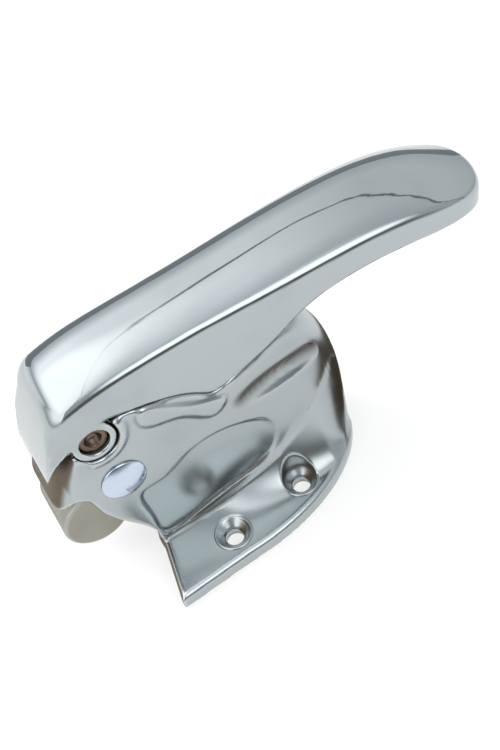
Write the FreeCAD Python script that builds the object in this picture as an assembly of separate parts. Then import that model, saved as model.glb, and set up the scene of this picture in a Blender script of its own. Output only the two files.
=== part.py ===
"""Lever latch for the door of a refrigerated showcase, in millimetres.

The base rests on the door at z = 0.  X runs from the nose to the tip of the handle, Y is the
axis that the handle and the tongue turn about, and the origin lies in the middle of the four
screw holes.  Everything is symmetrical about the XZ plane apart from the rivet and the springs.
"""
import FreeCAD, Part
import math
import os

Vector = FreeCAD.Vector

# Screw holes in the base
HOLE_PITCH_X = 25.4
FRONT_HOLE_PITCH_Y = 47.4
REAR_HOLE_PITCH_Y = 40.0
SCREW_HOLE_R = 2.7
SCREW_SINK_R = 5.1

# Base flange: straight sides that close in slightly, then half an ellipse round the rear
BASE_THICKNESS = 5.0
BASE_FRONT_X = -31.2
BASE_FRONT_SWEEP = 4.4
BASE_FRONT_HALF = 34.1
BASE_BEND_X = -12.0
BASE_BEND_HALF = 32.4
BASE_REAR_X = 40.0
SKIRT_RISE = 26.0
SKIRT_RUN = 12.0
SKIRT_LEAST_RUN = 2.0
SKIRT_STEPS = 14

# Body casting
BODY_HALF = 13.3
BODY_BEND_X = 2.0
BODY_REAR_X = 41.0
BODY_WALL = 3.0
SHELL_WALL = 3.6
DOME_ROUND = 6.0
MECHANISM_REAR_X = -13.0
WEB_THICKNESS = 4.0
PANEL_DEPTH = 1.0
RIB_HEIGHT = 1.1
RIB_DRAFT = 0.9
SCOOP_DEPTH = 0.9
SCOOP_R = 300.0
LEAF_DEPTH = 1.7
LEAF_TUBE_R = 6.0
LEAF_BOW_R = 90.0
SCOOP_X = 18.0
SCOOP_Z = 38.0
LEAF_X = 18.0
LEAF_Z = 42.5
LEAF_TILT = math.radians(10.0)
COLLAR_WIDTH = 2.4
COLLAR_HEIGHT = 0.7
NOSE_ROUND = 0.8

# Pivots
PIN_X = -36.0
PIN_Z = 58.3
PIN_R = 4.2
PIN_RECESS = 1.3
RIVET_X = -33.4
RIVET_Z = 39.5
RIVET_R = 3.0
RIVET_HEAD_R = 6.6
RIVET_HEAD_HEIGHT = 2.5
HEAD_RIM_SHARE = 0.2
SPACER_WALL = 1.5
RUNNING_GAP = 0.05

# Handle casting
HANDLE_HALF = 13.6
HANDLE_NOSE_HALF = 10.8
HANDLE_PADDLE_HALF = 16.0
HANDLE_WALL = 2.8
HANDLE_CROWN = 4.0
HANDLE_TIP_X = 90.5
HANDLE_EDGE_ROUND = 1.6
BOSS_WALL = 2.0
EAR_WALL = 2.8
EAR_RIM = 3.8
WASHER_THICKNESS = 0.5
HUB_SPRING_SPACE = 6.6
PART_LINE_GAP = 0.45
SIDE_PLAY = 0.15

# Linkage between the handle and the tongue
LIFT_X = -23.5
LIFT_Z = 42.0
LIFT_PIN_R = 1.6
LIFT_GAP = 0.3
TAIL_HALF = 2.6
LUG_THICKNESS = 3.0
LUG_RIM = 1.7
TAIL_SLOPE = 0.156

# Tongue
TONGUE_LOBE_X = -44.5
TONGUE_LOBE_Z = 25.0
TONGUE_LOBE_R = 9.8
TONGUE_HUB_R = 6.2
TONGUE_ROUND = 0.8
SHIM_THICKNESS = 0.5
RIVET_WASHER_THICKNESS = 1.0

# Springs and the rest pad
PIN_WIRE_R = 0.5
TONGUE_WIRE_R = 0.6
COIL_CLEARANCE = 0.3
SPRING_PITCH_RATIO = 1.06
WIRE_SIDES = 8
HANDLE_SPRING_TURNS = 4.25
TONGUE_SPRING_WHOLE_TURNS = 2
TONGUE_LEG = 12.0
LEG_CLEARANCE = 0.1
LEG_SWING_ROOM = 2.0
LEG_SEAT_DEPTH = 2.0
LEG_IN_SEAT = 1.6
PAD_X = 17.0
PAD_R = 4.0
PAD_HEIGHT = 5.0
PAD_CHAMFER = 0.8
PAD_SEAT_Z = 56.4
REST_GAP = 0.3
PIN_CHAMFER = 0.5
RIB_THICKNESS = 3.0
HUB_WALL = 2.0

# Values that follow from the ones above
CAVITY_HALF = BODY_HALF - BODY_WALL
CHEEK_INNER = HANDLE_HALF - HANDLE_WALL
EAR_OUTER = CHEEK_INNER - WASHER_THICKNESS - RUNNING_GAP
EAR_INNER = EAR_OUTER - EAR_WALL
HUB_HALF = EAR_INNER - SIDE_PLAY
BOSS_R = PIN_R + BOSS_WALL
SCALLOP_R = BOSS_R + PART_LINE_GAP
EAR_R = PIN_R + EAR_RIM
HUB_R = PIN_R + HUB_WALL
LUG_R = LIFT_PIN_R + LUG_RIM
COLLAR_R = SCALLOP_R + COLLAR_WIDTH
SPACER_R = RIVET_R + SPACER_WALL
TONGUE_HALF = CAVITY_HALF - SHIM_THICKNESS - RUNNING_GAP
PIN_COIL_R = PIN_R + COIL_CLEARANCE + PIN_WIRE_R
TONGUE_COIL_R = SPACER_R + COIL_CLEARANCE + TONGUE_WIRE_R
TONGUE_COIL_Y = TAIL_HALF + COIL_CLEARANCE + TONGUE_WIRE_R
TONGUE_HEADING = math.atan2(TONGUE_LOBE_Z - RIVET_Z, TONGUE_LOBE_X - RIVET_X)
TONGUE_FLANK = TONGUE_HEADING + math.pi / 2
TONGUE_SPRING_TURNS = TONGUE_SPRING_WHOLE_TURNS + 0.75 - TONGUE_FLANK / (2 * math.pi)
PIVOT = Vector(PIN_X, 0, PIN_Z)
RIVET = Vector(RIVET_X, 0, RIVET_Z)
LIFT = Vector(LIFT_X, 0, LIFT_Z)
HANDLE_LEG = Vector(PIN_X - 3.6, 0, PIN_Z + 10.0)
Y_AXIS = Vector(0, 1, 0)
FAR = 200.0


def on_side(x, z):
    """A point of the side view, on the plane of symmetry."""
    return Vector(x, 0, z)


def curve(points, **ends):
    """A smooth edge through a few points."""
    spline = Part.BSplineCurve()
    spline.interpolate(Points=points, **ends)
    return spline.toShape()


def line(start, end):
    """A straight edge."""
    return Part.LineSegment(start, end).toShape()


def prism_y(edges, y_from, y_to):
    """A side outline carried across from one Y to another."""
    face = Part.Face(Part.Wire(edges))
    face.translate(Vector(0, y_from, 0))
    return face.extrude(Vector(0, y_to - y_from, 0))


def cylinder_y(centre, radius, y_from, y_to):
    """A cylinder along Y."""
    start = Vector(centre.x, y_from, centre.z)
    return Part.makeCylinder(radius, y_to - y_from, start, Y_AXIS)


def box(x_from, x_to, half, z_from, z_to):
    """A box that is symmetrical about the XZ plane."""
    corner = Vector(x_from, -half, z_from)
    return Part.makeBox(x_to - x_from, 2 * half, z_to - z_from, corner)


def mirrored(shape):
    """The same shape on the other side of the XZ plane."""
    return shape.mirror(Vector(0, 0, 0), Y_AXIS)


def both_sides(shape):
    """A shape and its mirror image, joined."""
    return shape.fuse(mirrored(shape))


def smooth_outline(points):
    """A closed smooth outline through a few points."""
    return [curve(points, PeriodicFlag=True)]


def smooth_surface(poles):
    """A cubic surface over a grid of poles, clamped at its edges."""
    spans_u = len(poles) - 3
    spans_v = len(poles[0]) - 3
    surface = Part.BSplineSurface()
    surface.buildFromPolesMultsKnots(
        poles,
        [4] + [1] * (spans_u - 1) + [4],
        [4] + [1] * (spans_v - 1) + [4],
        list(range(spans_u + 1)),
        list(range(spans_v + 1)),
        False,
        False,
        3,
        3,
    )
    return surface.toShape()


def fillet_where(shape, radius, chosen):
    """Round the edges that a test picks."""
    edges = [edge for edge in shape.Edges if chosen(edge)]
    return shape.makeFillet(radius, edges)


# Lower edge of the handle's side walls, from the tip of the cheek to the tip of the paddle
CHEEK_TIP = on_side(PIN_X - 15.9, PIN_Z - 9.8)
HANDLE_LOWER = [
    CHEEK_TIP,
    on_side(PIN_X - 12.0, PIN_Z - 3.6),
    on_side(PIN_X - 5.0, PIN_Z + 1.8),
    on_side(PIN_X + 8.3, PIN_Z + 4.5),
    on_side(PIN_X + 17.1, PIN_Z + 2.7),
    on_side(PIN_X + 29.5, PIN_Z - 3.0),
    on_side(PIN_X + 33.1, PIN_Z - 5.4),
    on_side(PIN_X + 41.0, PIN_Z - 4.0),
    on_side(PIN_X + 49.4, PIN_Z - 0.6),
    on_side(PIN_X + 64.3, PIN_Z + 7.1),
    on_side(PIN_X + 78.5, PIN_Z + 10.0),
    on_side(PIN_X + 100.0, PIN_Z + 9.4),
    on_side(HANDLE_TIP_X + 1.0, PIN_Z + 5.6),
]


# Crease line between the handle's top and its sides
HANDLE_CREASE = [
    (PIN_X - 24.0, PIN_Z + 6.0),
    (PIN_X - 14.0, PIN_Z + 10.0),
    (PIN_X - 4.0, PIN_Z + 14.0),
    (PIN_X + 8.0, PIN_Z + 16.6),
    (PIN_X + 26.0, PIN_Z + 17.4),
    (PIN_X + 48.0, PIN_Z + 18.4),
    (PIN_X + 71.0, PIN_Z + 20.2),
    (PIN_X + 92.0, PIN_Z + 20.4),
    (PIN_X + 108.0, PIN_Z + 18.4),
    (PIN_X + 119.0, PIN_Z + 14.4),
    (HANDLE_TIP_X + 6.0, PIN_Z + 7.0),
]


# Raised rib of the body along the handle's lower edge, anticlockwise as seen from the near side
RIB_OUTLINE = [
    on_side(PIN_X + 13.0, PIN_Z + 2.4),
    on_side(PIN_X + 21.0, PIN_Z - 0.8),
    on_side(PIN_X + 31.0, PIN_Z - 6.6),
    on_side(PIN_X + 36.4, PIN_Z - 10.0),
    on_side(PIN_X + 33.6, PIN_Z - 13.6),
    on_side(PIN_X + 23.0, PIN_Z - 7.6),
    on_side(PIN_X + 12.6, PIN_Z - 2.6),
]


# Shallow recess in the lower side of the body
PANEL_OUTLINE = [
    on_side(PIN_X + 6.0, PIN_Z - 28.5),
    on_side(PIN_X + 12.0, PIN_Z - 27.9),
    on_side(PIN_X + 20.0, PIN_Z - 24.0),
    on_side(PIN_X + 28.5, PIN_Z - 21.9),
    on_side(PIN_X + 38.0, PIN_Z - 23.6),
    on_side(PIN_X + 47.0, PIN_Z - 31.0),
    on_side(PIN_X + 46.0, BASE_THICKNESS + 12.0),
    on_side(PIN_X + 35.0, BASE_THICKNESS + 7.2),
    on_side(PIN_X + 20.0, BASE_THICKNESS + 4.0),
    on_side(BASE_FRONT_X + 2.0, BASE_THICKNESS + 3.0),
    on_side(BASE_FRONT_X + 0.6, BASE_THICKNESS + 13.0),
]


def body_half_width(x):
    """Half width of the body casting at one X."""
    if x <= BODY_BEND_X:
        return BODY_HALF
    share = min((x - BODY_BEND_X) / (BODY_REAR_X - BODY_BEND_X), 1.0)
    return BODY_HALF * math.sqrt(1.0 - share ** 2)


def base_half_width(x):
    """Half width of the base flange at one X."""
    if x <= BASE_BEND_X:
        share = (BASE_BEND_X - x) / (BASE_BEND_X - BASE_FRONT_X + BASE_FRONT_SWEEP)
        return BASE_BEND_HALF + share * (BASE_FRONT_HALF - BASE_BEND_HALF)
    share = min((x - BASE_BEND_X) / (BASE_REAR_X - BASE_BEND_X), 1.0)
    return BASE_BEND_HALF * math.sqrt(1.0 - share ** 2)


def rear_ellipse(centre_x, rear_x, half):
    """The half ellipse that closes an outline at the rear, from -Y round to +Y."""
    major = Vector(rear_x, 0, 0)
    minor = Vector(centre_x, half, 0)
    centre = Vector(centre_x, 0, 0)
    if rear_x - centre_x >= half:
        ellipse = Part.Ellipse(major, minor, centre)
        return ellipse.toShape(-math.pi / 2, math.pi / 2)
    ellipse = Part.Ellipse(minor, Vector(2 * centre_x - rear_x, 0, 0), centre)
    return ellipse.toShape(math.pi, 2 * math.pi)


def base_outline():
    """Plan of the base flange: front corners swept forward, rear rounded."""
    inner = [Vector(BASE_FRONT_X, side * BODY_HALF, 0) for side in (-1, 1)]
    front_x = BASE_FRONT_X - BASE_FRONT_SWEEP
    outer = [Vector(front_x, side * BASE_FRONT_HALF, 0) for side in (-1, 1)]
    bend = [Vector(BASE_BEND_X, side * BASE_BEND_HALF, 0) for side in (-1, 1)]
    edges = [
        line(inner[1], inner[0]),
        line(inner[0], outer[0]),
        line(outer[0], bend[0]),
        rear_ellipse(BASE_BEND_X, BASE_REAR_X, BASE_BEND_HALF),
        line(bend[1], outer[1]),
        line(outer[1], inner[1]),
    ]
    return Part.Face(Part.Wire(edges))


def skirt_height(x, y):
    """Height of the flange's top: flat outside, swept up towards the body and the rear."""
    along = (x - BASE_FRONT_X) / (BODY_REAR_X - BASE_FRONT_X)
    rise = SKIRT_RISE * min(max(along, 0.0), 1.0) ** 2
    wall = body_half_width(x)
    run = max(min(SKIRT_RUN, base_half_width(x) - wall), SKIRT_LEAST_RUN)
    out = min(max((abs(y) - wall) / run, 0.0), 1.0)
    return BASE_THICKNESS + rise * (1.0 - out) ** 2


def make_skirt():
    """Base flange with its swept top, one half built and mirrored."""
    margin = 2.0
    x_from = BASE_FRONT_X - BASE_FRONT_SWEEP - margin
    x_step = (BODY_REAR_X + margin - x_from) / SKIRT_STEPS
    y_step = (BASE_FRONT_HALF + 2 * margin) / SKIRT_STEPS
    grid = []
    for i in range(SKIRT_STEPS + 1):
        x = x_from + x_step * i
        row = [y_step * j for j in range(SKIRT_STEPS + 1)]
        grid.append([Vector(x, -y, skirt_height(x, y)) for y in row])
    block = smooth_surface(grid).extrude(Vector(0, 0, -FAR))
    plan = base_outline().extrude(Vector(0, 0, FAR))
    half = block.common(plan).common(Part.makeBox(FAR, FAR, FAR, Vector(-FAR / 2, -FAR, 0)))
    return both_sides(half).removeSplitter()


def body_side_outline(inset):
    """Side view of the body casting at full width, drawn in by an even inset."""
    gap = Vector(0, 0, -PART_LINE_GAP - inset)
    shoulder = [point + gap for point in HANDLE_LOWER[3:9]]
    front_top = on_side(PIN_X - 5.8, PIN_Z - 0.9 - inset)
    nose_top = on_side(PIN_X - 8.4, PIN_Z - 4.0)
    nose_mid = on_side(PIN_X - 12.5, PIN_Z - 10.4)
    nose_tip = on_side(PIN_X - 15.9, PIN_Z - 17.8)
    nose_low = on_side(PIN_X - 15.7, PIN_Z - 21.5)
    throat_top = on_side(PIN_X - 9.0, PIN_Z - 21.8)
    throat_mid = on_side(PIN_X - 2.1, PIN_Z - 36.5)
    throat_low = on_side(BASE_FRONT_X - 2.3, 14.6)
    foot = on_side(BASE_FRONT_X, 9.4)
    toe = on_side(BASE_FRONT_X, 0)
    rear_low = on_side(BODY_REAR_X + 0.5 - inset, 0)
    rear_high = on_side(BODY_REAR_X + 0.5 - inset, 22.0)
    dome = [
        on_side(20.0, 58.6 - inset),
        on_side(28.0, 55.5 - inset),
        on_side(34.5 - inset * 0.7, 47.5 - inset * 0.7),
        on_side(39.6 - inset, 36.0 - inset * 0.3),
        rear_high,
    ]
    return [
        line(toe, foot),
        curve([foot, throat_low, throat_mid, throat_top]),
        line(throat_top, nose_low),
        line(nose_low, nose_tip),
        curve([nose_tip, nose_mid, nose_top, front_top]),
        line(front_top, shoulder[0]),
        curve(shoulder + dome, FinalTangent=Vector(0, 0, -1)),
        line(rear_high, rear_low),
        line(rear_low, toe),
    ]


def body_plan(inset):
    """Plan of the body casting above its flange."""
    half = BODY_HALF - inset
    front_x = PIN_X - 40.0
    near = Vector(front_x, -half, 0)
    far = Vector(front_x, half, 0)
    edges = [
        line(far, near),
        line(near, Vector(BODY_BEND_X, -half, 0)),
        rear_ellipse(BODY_BEND_X, BODY_REAR_X - inset, half),
        line(Vector(BODY_BEND_X, half, 0), far),
    ]
    return Part.Face(Part.Wire(edges)).extrude(Vector(0, 0, FAR))


def make_hull(inset, dome_round):
    """Outer form of the body, or its inner form when it is drawn in by the wall."""
    side = prism_y(body_side_outline(inset), -FAR / 2, FAR / 2)
    hull = side.common(body_plan(inset))

    def on_dome_rim(edge):
        bounds = edge.BoundBox
        behind_bend = bounds.XMin > BODY_BEND_X - 1.0
        return behind_bend and bounds.XLength > 1.0 and bounds.ZMin > 1.0

    return fillet_where(hull, dome_round, on_dome_rim)


def nose_rounds(hull, radius):
    """Soften the side edges of the nose and the throat under it."""

    def on_nose(edge):
        bounds = edge.BoundBox
        in_front = bounds.XMax < BASE_FRONT_X + 0.1 and bounds.XLength > 1.0
        return in_front and bounds.YLength < 0.1 and bounds.ZMin > 1.0

    return fillet_where(hull, radius, on_nose)


def drawn_in(points, inset):
    """A closed outline's points, each moved inwards; the outline runs clockwise in X and Z."""
    moved = []
    for before, point, after in zip(points[-1:] + points[:-1], points, points[1:] + points[:1]):
        run = after - before
        run.normalize()
        moved.append(point + Vector(run.z, 0, -run.x) * inset)
    return moved


def shoulder_rib():
    """Raised rib along the handle's lower edge, with drafted sides, one side."""
    sections = []
    for inset, y in ((0.0, EAR_OUTER), (0.0, BODY_HALF), (RIB_DRAFT, BODY_HALF + RIB_HEIGHT)):
        wire = Part.Wire(smooth_outline(drawn_in(RIB_OUTLINE, inset)))
        wire.translate(Vector(0, -y, 0))
        sections.append(wire)
    root = Part.makeLoft(sections[:2], True, True)
    return root.fuse(Part.makeLoft(sections[1:], True, True))


def boss_collar():
    """Raised lip of the body round the lower rear of the handle's boss, one side."""
    middle = (SCALLOP_R + COLLAR_R) / 2
    low = -BODY_HALF + 1.0
    high = -BODY_HALF - COLLAR_HEIGHT
    section = [
        line(Vector(PIN_X + SCALLOP_R, low, PIN_Z), Vector(PIN_X + COLLAR_R, low, PIN_Z)),
        Part.Arc(
            Vector(PIN_X + COLLAR_R, low, PIN_Z),
            Vector(PIN_X + middle, high, PIN_Z),
            Vector(PIN_X + SCALLOP_R, low, PIN_Z),
        ).toShape(),
    ]
    face = Part.Face(Part.Wire(section))
    face.rotate(PIVOT, Y_AXIS, 15.0)
    return face.revolve(PIVOT, Y_AXIS, 95.0)


def side_panel():
    """Space of the shallow recess in the lower side, one side."""
    return prism_y(smooth_outline(PANEL_OUTLINE), -FAR, PANEL_DEPTH - BODY_HALF)


def wall_point(x, z):
    """A point of the body's near wall and the wall's outward normal there."""
    point = Vector(x, -body_half_width(x), z)
    step = 0.01
    slope = (body_half_width(x + step) - body_half_width(x - step)) / (2 * step)
    normal = Vector(-slope, -1, 0)
    normal.normalize()
    return point, normal


def dome_scoop():
    """Space of the wide shallow scoop in the rear flank, one side."""
    point, normal = wall_point(SCOOP_X, SCOOP_Z)
    return Part.makeSphere(SCOOP_R, point + normal * (SCOOP_R - SCOOP_DEPTH))


def leaf_dimple():
    """Space of the leaf-shaped dimple, cut by a tube that bows away at both ends."""
    point, normal = wall_point(LEAF_X, LEAF_Z)
    along = Vector(math.cos(LEAF_TILT), 0, math.sin(LEAF_TILT))
    across = along.cross(normal)
    out = LEAF_TUBE_R + LEAF_BOW_R - SCOOP_DEPTH - LEAF_DEPTH
    return Part.makeTorus(LEAF_BOW_R, LEAF_TUBE_R, point + normal * out, across)


def screw_hole(x, y):
    """Space of one countersunk screw hole."""
    sink_depth = SCREW_SINK_R - SCREW_HOLE_R
    sink_top = BASE_THICKNESS + 0.4
    hole = Part.makeCylinder(SCREW_HOLE_R, FAR, Vector(x, y, -1.0))
    sink = Part.makeCone(
        SCREW_HOLE_R, SCREW_SINK_R, sink_depth, Vector(x, y, sink_top - sink_depth)
    )
    head_room = Part.makeCylinder(SCREW_SINK_R, FAR, Vector(x, y, sink_top))
    return hole.fuse([sink, head_room])


def screw_holes():
    """Spaces of the four screw holes."""
    holes = []
    for x, pitch in ((-HOLE_PITCH_X / 2, FRONT_HOLE_PITCH_Y), (HOLE_PITCH_X / 2, REAR_HOLE_PITCH_Y)):
        for side in (-1, 1):
            holes.append(screw_hole(x, side * pitch / 2))
    return holes


def mechanism_cavity():
    """Space inside the nose for the tongue, open below, and the slot for the handle's hub."""
    ceiling = RIVET_Z + TONGUE_HUB_R + 3.5
    outline = [
        on_side(PIN_X - 24.0, -1.0),
        on_side(MECHANISM_REAR_X, -1.0),
        on_side(MECHANISM_REAR_X, ceiling),
        on_side(PIN_X - 6.5, ceiling),
        on_side(PIN_X - 9.6, ceiling - 3.2),
        on_side(PIN_X - 12.9, PIN_Z - 17.8),
        on_side(PIN_X - 13.1, PIN_Z - 28.0),
        on_side(PIN_X - 24.0, PIN_Z - 28.0),
    ]
    edges = [line(a, b) for a, b in zip(outline, outline[1:] + outline[:1])]
    cavity = prism_y(edges, -CAVITY_HALF, CAVITY_HALF)
    slot = box(PIN_X - HUB_R - 0.8, MECHANISM_REAR_X, EAR_INNER, ceiling - 1.0, FAR)
    return [cavity, slot]


def leg_seat(y, z, wire_r):
    """Blind hole in the wall behind the mechanism that holds a spring's rear leg."""
    start = Vector(MECHANISM_REAR_X - 1.0, y, z)
    radius = wire_r + LEG_CLEARANCE
    return Part.makeCylinder(radius, LEG_SEAT_DEPTH + 1.0, start, Vector(1, 0, 0))


def make_body():
    """Body casting: flange, hull, ears, cavities, holes and the shaped sides."""
    hull = nose_rounds(make_hull(0.0, DOME_ROUND), NOSE_ROUND)
    for cutter in (side_panel(), dome_scoop(), leaf_dimple()):
        hull = hull.cut([cutter, mirrored(cutter)])
    body = hull.fuse(make_skirt())
    extras = [shoulder_rib(), boss_collar()]
    extras += [mirrored(extra) for extra in extras]
    extras.append(cylinder_y(PIVOT, EAR_R, -EAR_OUTER, EAR_OUTER))
    body = body.fuse(extras)
    scallop = cylinder_y(PIVOT, SCALLOP_R, -FAR / 2, -EAR_OUTER)
    pocket = make_hull(SHELL_WALL, DOME_ROUND - SHELL_WALL)
    pocket = pocket.common(box(MECHANISM_REAR_X + WEB_THICKNESS, FAR, FAR, -1.0, FAR))
    spaces = [
        scallop,
        mirrored(scallop),
        pocket,
        cylinder_y(PIVOT, PIN_R + RUNNING_GAP, -FAR / 2, FAR / 2),
        cylinder_y(RIVET, RIVET_R + RUNNING_GAP, -FAR / 2, FAR / 2),
        Part.makeCylinder(PAD_R + RUNNING_GAP, FAR, Vector(PAD_X, 0, PAD_SEAT_Z)),
        leg_seat(-handle_spring_half(), PIN_Z - PIN_COIL_R, PIN_WIRE_R),
        leg_seat(TONGUE_COIL_Y, RIVET_Z - TONGUE_COIL_R, TONGUE_WIRE_R),
    ]
    body = body.cut(spaces + mechanism_cavity() + screw_holes())
    return body.removeSplitter()


def handle_top(drop):
    """Everything under the handle's crowned top, lowered by an even drop."""
    rows = []
    for x, z in HANDLE_CREASE:
        row = []
        for step in range(-3, 4):
            y = step * HANDLE_PADDLE_HALF * 1.3 / 3
            crown = HANDLE_CROWN * (1.0 - (y / HANDLE_HALF) ** 2)
            row.append(Vector(x, y, z + crown - drop))
        rows.append(row)
    return smooth_surface(rows).extrude(Vector(0, 0, -FAR))


def handle_plan(inset):
    """Plan of the handle: narrow at the nose, widest at the paddle, blunt at the tip."""
    front_x = PIN_X - 22.0
    side = [
        Vector(front_x, HANDLE_NOSE_HALF - 2.6 - inset, 0),
        Vector(PIN_X - 16.0, HANDLE_NOSE_HALF - inset, 0),
        Vector(PIN_X - 8.0, HANDLE_HALF - 0.5 - inset, 0),
        Vector(PIN_X, HANDLE_HALF - inset, 0),
        Vector(PIN_X + 34.0, HANDLE_HALF - inset, 0),
        Vector(PIN_X + 60.0, (HANDLE_HALF + HANDLE_PADDLE_HALF) / 2 - inset, 0),
        Vector(HANDLE_TIP_X - 30.0, HANDLE_PADDLE_HALF - inset, 0),
        Vector(HANDLE_TIP_X - 12.0, HANDLE_PADDLE_HALF - 0.8 - inset, 0),
        Vector(HANDLE_TIP_X - 3.5 - inset * 0.7, HANDLE_PADDLE_HALF - 5.0 - inset * 0.7, 0),
        Vector(HANDLE_TIP_X - inset, 0, 0),
    ]
    near = [Vector(point.x, -point.y, 0) for point in side]
    edges = [
        curve(side, FinalTangent=Vector(0, -1, 0)),
        curve(near, FinalTangent=Vector(0, 1, 0)),
        line(near[0], side[0]),
    ]
    wire = Part.Wire(Part.__sortEdges__(edges))
    return Part.Face(wire).extrude(Vector(0, 0, FAR))


def handle_front(shift):
    """Front of the handle in side view, from the tip of the cheek up."""
    points = [
        CHEEK_TIP,
        on_side(PIN_X - 13.3, PIN_Z - 1.3),
        on_side(PIN_X - 9.6, PIN_Z + 8.7),
        on_side(PIN_X - 7.2, PIN_Z + 14.2),
    ]
    return [point + Vector(shift, 0, 0) for point in points]


def handle_side():
    """Everything inside the side view of the handle, above its lower edge."""
    front = handle_front(0.0)
    top = PIN_Z + 40.0
    front_top = on_side(front[-1].x + 2.0, top)
    tip_top = on_side(HANDLE_TIP_X + 5.0, top)
    tip_low = HANDLE_LOWER[-1]
    edges = [
        curve(HANDLE_LOWER),
        line(tip_low, tip_top),
        line(tip_top, front_top),
        line(front_top, front[-1]),
        curve(list(reversed(front))),
    ]
    return prism_y(edges, -FAR / 2, FAR / 2)


def handle_hollow():
    """Space inside the handle, open below."""
    front = handle_front(HANDLE_WALL * 1.05)
    low = on_side(front[0].x, PIN_Z - 30.0)
    low_end = on_side(FAR, PIN_Z - 30.0)
    high_end = on_side(FAR, PIN_Z + 40.0)
    high = on_side(front[-1].x + 2.0, PIN_Z + 40.0)
    edges = [
        line(low, low_end),
        line(low_end, high_end),
        line(high_end, high),
        line(high, front[-1]),
        curve(list(reversed(front))),
        line(front[0], low),
    ]
    behind_front = prism_y(edges, -FAR / 2, FAR / 2)
    return handle_top(HANDLE_WALL).common(handle_plan(HANDLE_WALL)).common(behind_front)


def handle_hub():
    """Half hub with its web and its lug for the lift pin, one side."""
    near = -HUB_HALF
    inner = -HUB_SPRING_SPACE / 2
    hub = cylinder_y(PIVOT, HUB_R, near, inner)
    web = [
        on_side(PIN_X - HUB_R + 1.2, PIN_Z),
        on_side(PIN_X + HUB_R - 1.2, PIN_Z),
        on_side(PIN_X + HUB_R + 1.0, PIN_Z + 16.0),
        on_side(PIN_X - HUB_R + 1.2, PIN_Z + 16.0),
    ]
    lug = [
        on_side(PIN_X + 2.0, PIN_Z + HUB_R - 1.0),
        on_side(PIN_X + 2.0, PIN_Z - HUB_R + 1.0),
        on_side(LIFT_X - LUG_R - 0.4, LIFT_Z + 9.0),
        on_side(LIFT_X - LUG_R, LIFT_Z),
        on_side(LIFT_X + LUG_R, LIFT_Z),
        on_side(LIFT_X + LUG_R + 0.6, LIFT_Z + 9.0),
        on_side(LIFT_X - 0.5, LIFT_Z + 16.5),
    ]
    pieces = [hub, cylinder_y(LIFT, LUG_R, inner - LUG_THICKNESS, inner)]
    for outline, outer_y in ((web, near), (lug, inner - LUG_THICKNESS)):
        edges = [line(a, b) for a, b in zip(outline, outline[1:] + outline[:1])]
        pieces.append(prism_y(edges, outer_y, inner))
    return pieces[0].fuse(pieces[1:])


def cross_rib(outer, x, low_z):
    """A stiffening rib across the hollow of the handle, cut from its outer form."""
    half = RIB_THICKNESS / 2
    return box(x - half, x + half, FAR / 2, low_z, FAR).common(outer)


def make_handle():
    """Handle casting: crowned shell, cheeks with bosses, hub, lugs and cross ribs."""
    block = handle_top(0.0).common(handle_plan(0.0)).common(handle_side())
    crown = max(block.Faces, key=lambda face: face.CenterOfMass.z)
    outer = block.makeFillet(HANDLE_EDGE_ROUND, crown.Edges)
    boss = cylinder_y(PIVOT, BOSS_R, -HANDLE_HALF, -CHEEK_INNER)
    hub = handle_hub()
    inside = [
        boss,
        mirrored(boss),
        hub,
        mirrored(hub),
        cross_rib(outer, PAD_X, PAD_SEAT_Z + PAD_HEIGHT + REST_GAP),
        cross_rib(outer, PAD_X + 34.0, PIN_Z + 14.0),
    ]
    washer_face = cylinder_y(PIVOT, BOSS_R + LEG_CLEARANCE, -CHEEK_INNER, -EAR_OUTER)
    handle = outer.cut([handle_hollow(), washer_face, mirrored(washer_face)]).fuse(inside)
    seat_y = HUB_SPRING_SPACE / 2
    seat_r = PIN_WIRE_R + LEG_CLEARANCE
    holes = [
        cylinder_y(PIVOT, PIN_R, -FAR / 2, FAR / 2),
        cylinder_y(LIFT, LIFT_PIN_R, -FAR / 2, FAR / 2),
        cylinder_y(HANDLE_LEG, seat_r, seat_y, seat_y + LEG_SEAT_DEPTH),
    ]
    return handle.cut(holes).removeSplitter()


def make_handle_pin():
    """Plain pin, chamfered and centre-drilled at both ends."""
    half = HANDLE_HALF - PIN_RECESS
    pin = cylinder_y(PIVOT, PIN_R, -half, half)
    pin = pin.makeChamfer(PIN_CHAMFER, [edge for edge in pin.Edges if edge.Closed])
    start = Vector(PIN_X, -half, PIN_Z)
    dimple = Part.makeCone(PIN_R * 0.4, 0, PIN_R * 0.3, start, Y_AXIS)
    return pin.cut([dimple, mirrored(dimple)])


def ring(centre, inner_r, outer_r, y_from, y_to):
    """A flat ring round a pivot."""
    disc = cylinder_y(centre, outer_r, y_from, y_to)
    return disc.cut(cylinder_y(centre, inner_r, y_from - 1.0, y_to + 1.0))


def make_pin_washer():
    """Washer between the far ear and the far cheek of the handle."""
    return ring(PIVOT, PIN_R + RUNNING_GAP, BOSS_R, EAR_OUTER, EAR_OUTER + WASHER_THICKNESS)


def make_lift_pin():
    """Small pin through both lugs of the handle, under the tail of the tongue."""
    half = HUB_SPRING_SPACE / 2 + LUG_THICKNESS
    return cylinder_y(LIFT, LIFT_PIN_R, -half, half)


def spring_pitch(wire_r):
    """Distance between the turns of a spring, a little over the wire's thickness."""
    return 2 * wire_r * SPRING_PITCH_RATIO


def handle_spring_half():
    """Half the distance between the two legs of the handle's spring."""
    return spring_pitch(PIN_WIRE_R) * HANDLE_SPRING_TURNS / 2


def round_wire(radius, points):
    """Straight round wire through a few points, with a ball at each bend."""
    pieces = []
    for start, end in zip(points, points[1:]):
        run = end - start
        pieces.append(Part.makeCylinder(radius, run.Length, start, run))
        pieces.append(Part.makeSphere(radius, start))
    return pieces


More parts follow.
